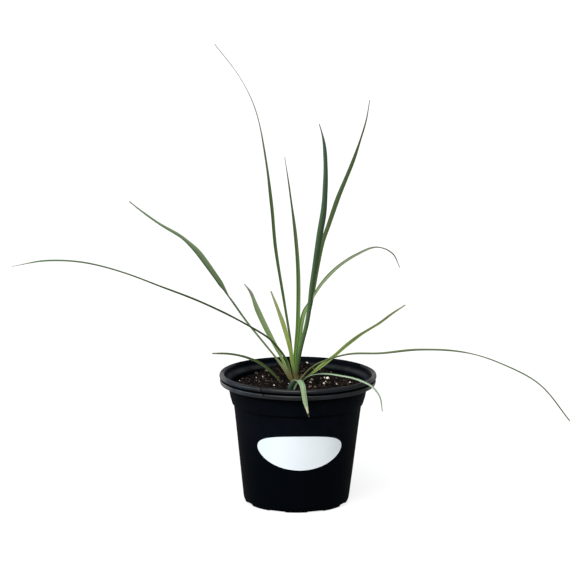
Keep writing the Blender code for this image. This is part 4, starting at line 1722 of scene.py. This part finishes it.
@dataclass
class Crown:
    """The short stub that the leaves clasp, with dry scales round it.

    The scales' lengths and flares are ranges to draw from, in millimetres.
    """

    radius: float = 3.1 * MM
    shift: float = -1.0 * MM
    top: float = 95.4 * MM
    foot: float = 80.0 * MM
    scales: int = 9
    scale_width: float = 4.6 * MM
    scale_foot: float = 86.0 * MM
    scale_thickness: float = 0.25 * MM
    scale_lengths: Range = (6.5, 10.5)
    scale_flares: Range = (0.2, 1.4)
    scale_turn: float = 2.4
    raggedness: float = 0.5 * MM
    finish: HuskFinish = HuskFinish()

    def core(self, spot: Vector) -> Vector:
        """Shape a ball into an uneven stub.

        Args:
            spot: A point of the ball, which has a radius of 1.

        Returns:
            Its place.
        """
        middle = (self.top + self.foot) / 2
        half = (self.top - self.foot) / 2
        bulge = 1.0 + 0.16 * noise.noise(spot * 2.3)
        taper = 1.0 - 0.3 * max(spot.z, 0.0)
        flat = math.copysign(abs(spot.z) ** 0.7, spot.z)
        wide = min(1.0, 1.35 * math.sqrt(max(0.0, 1.0 - spot.z * spot.z)))
        level = math.hypot(spot.x, spot.y) or 1.0
        share = self.radius * wide * bulge * taper / level
        return Vector((spot.x * share, spot.y * share, middle + half * flat))

    def scale_point(self, spot: Vector, number: int) -> Vector:
        """Wrap a point of a flat sheet into a dry scale that hugs the crown.

        Args:
            spot: The point, from -1 to 1 both ways.
            number: Which scale it belongs to.

        Returns:
            Its place.
        """
        draw = random.Random(40 + number)
        angle = number * self.scale_turn
        length = draw.uniform(*self.scale_lengths) * MM
        flare = draw.uniform(*self.scale_flares) * MM
        along = (spot.y + 1.0) / 2
        narrow = (1.0 - along**2.2) ** 0.6 + 0.05
        reach = self.radius + 0.5 * MM + flare * along * along
        turn = angle + spot.x * narrow * self.scale_width / 2 / reach
        grain = noise.noise(Vector((spot.x * 3.0, number, along * 2.0)))
        ragged = self.raggedness * grain * along
        height = self.scale_foot + length * along + ragged
        reach += ragged
        return Vector((math.cos(turn) * reach, math.sin(turn) * reach, height))

    def build(self) -> bpy.types.Object:
        """Make, dress and hand over the crown.

        Returns:
            The crown.
        """
        bpy.ops.mesh.primitive_uv_sphere_add(segments=40, ring_count=24, radius=1.0)
        core = named("crown_core")
        reshape(core, self.core)
        parts = [core]
        for number in range(self.scales):
            bpy.ops.mesh.primitive_grid_add(x_subdivisions=8, y_subdivisions=12, size=2.0)
            scale = named("scale")
            reshape(scale, lambda spot: self.scale_point(spot, number))
            modify(scale, "SOLIDIFY", thickness=self.scale_thickness, offset=0.0)
            parts.append(scale)
        crown = join(parts, "crown_stub")
        reshape(crown, lambda spot: spot + Vector((self.shift, 0.0, 0.0)))
        crown.data.materials.append(self.finish.material())
        smooth(crown, 50.0)
        hand_over(crown, Slot.CROWN, "crown")
        return crown


@dataclass
class Studio:
    """A plain pale floor, soft light and the camera."""

    floor_size: float = 60.0
    floor_drop: float = 0.02 * MM
    floor_grey: float = 0.26
    floor_glow: float = 0.78
    sky: float = 0.36
    camera_place: Point = (0.0, -2.1392, 0.5611)
    aim: Point = (-0.00723, 0.0, 0.15862)
    lens: float = 187.69
    sensor_width: float = 36.0
    far_limit: float = 200.0
    roll: float = math.radians(0.3)
    lit_place: Point = (0.0, 0.0, 0.12)
    key_place: Point = (-0.33, -1.7, 1.9)
    key_energy: float = 3.55
    key_angle: float = math.radians(50.0)
    side_place: Point = (-1.1, -0.2, 0.5)
    side_energy: float = 5.0
    side_size: float = 0.5
    side_colour: Colour = (0.75, 0.88, 1.0)

    def add_floor(self) -> None:
        """Lay the floor just under the pot."""
        place = (0.0, 0.0, -self.floor_drop)
        bpy.ops.mesh.primitive_plane_add(size=self.floor_size, location=place)
        floor = named("floor")
        shader = Shader("pale_floor", 0.9, 0.0)
        grey = (*(self.floor_grey,) * 3, 1.0)
        shader.surface.inputs["Base Color"].default_value = grey
        shader.surface.inputs["Emission Color"].default_value = (1.0, 1.0, 1.0, 1.0)
        seen = shader.node("LightPath").outputs["Is Camera Ray"]
        shader.feed("Emission Strength", shader.maths("MULTIPLY", seen, self.floor_glow))
        floor.data.materials.append(shader.material)

    def add_world(self) -> None:
        """Light the room evenly from a soft sky that shows as plain white."""
        world = bpy.data.worlds.new("studio")
        world.use_nodes = True
        tree = world.node_tree
        background = tree.nodes["Background"]
        rays = tree.nodes.new("ShaderNodeLightPath")
        strength = tree.nodes.new("ShaderNodeMapRange")
        strength.inputs["To Min"].default_value = self.sky
        tree.links.new(rays.outputs["Is Camera Ray"], strength.inputs["Value"])
        tree.links.new(strength.outputs[0], background.inputs["Strength"])
        background.inputs["Color"].default_value = (1.0, 1.0, 1.0, 1.0)
        bpy.context.scene.world = world

    def add_light(
        self, name: str, kind: str, place: Point, energy: float, **settings: object
    ) -> None:
        """Add a lamp that shines at the plant's middle.

        Args:
            name: The lamp's name.
            kind: The kind of light.
            place: Where it stands.
            energy: Its strength.
            settings: Its other values by name.
        """
        light = bpy.data.lights.new(name, kind)
        light.energy = energy
        for key, value in settings.items():
            setattr(light, key, value)
        lamp = bpy.data.objects.new(name, light)
        lamp.location = place
        towards = Vector(self.lit_place) - Vector(place)
        lamp.rotation_euler = towards.to_track_quat("-Z", "Y").to_euler()
        bpy.context.scene.collection.objects.link(lamp)

    def add_camera(self) -> None:
        """Set the camera where the photograph was taken from."""
        data = bpy.data.cameras.new("camera")
        data.lens = self.lens
        data.sensor_width = self.sensor_width
        data.clip_end = self.far_limit
        camera = bpy.data.objects.new("camera", data)
        towards = Vector(self.aim) - Vector(self.camera_place)
        turn = towards.to_track_quat("-Z", "Y") @ Quaternion((0.0, 0.0, 1.0), self.roll)
        camera.location = self.camera_place
        camera.rotation_euler = turn.to_euler()
        bpy.context.scene.collection.objects.link(camera)
        bpy.context.scene.camera = camera

    def build(self) -> None:
        """Set up the studio."""
        self.add_floor()
        self.add_world()
        self.add_light("key", "SUN", self.key_place, self.key_energy, angle=self.key_angle)
        self.add_light(
            "side", "AREA", self.side_place, self.side_energy,
            size=self.side_size, color=self.side_colour,
        )
        self.add_camera()
        bpy.context.scene.view_settings.view_transform = "Standard"


def main() -> None:
    """Build the potted plant piece by piece, and the studio round it."""
    logging.basicConfig(level=logging.INFO, format="%(message)s")
    low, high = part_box("pot")
    pot = NurseryPot(rim_radius=(high.x - low.x) / 2, height=high.z)
    pot.build()
    Label(pot).build()
    PottingMix(pot).build()
    Crown().build()
    for plan in LEAVES:
        Blade(plan).build()
    Studio().build()


if __name__ == "__main__":
    main()
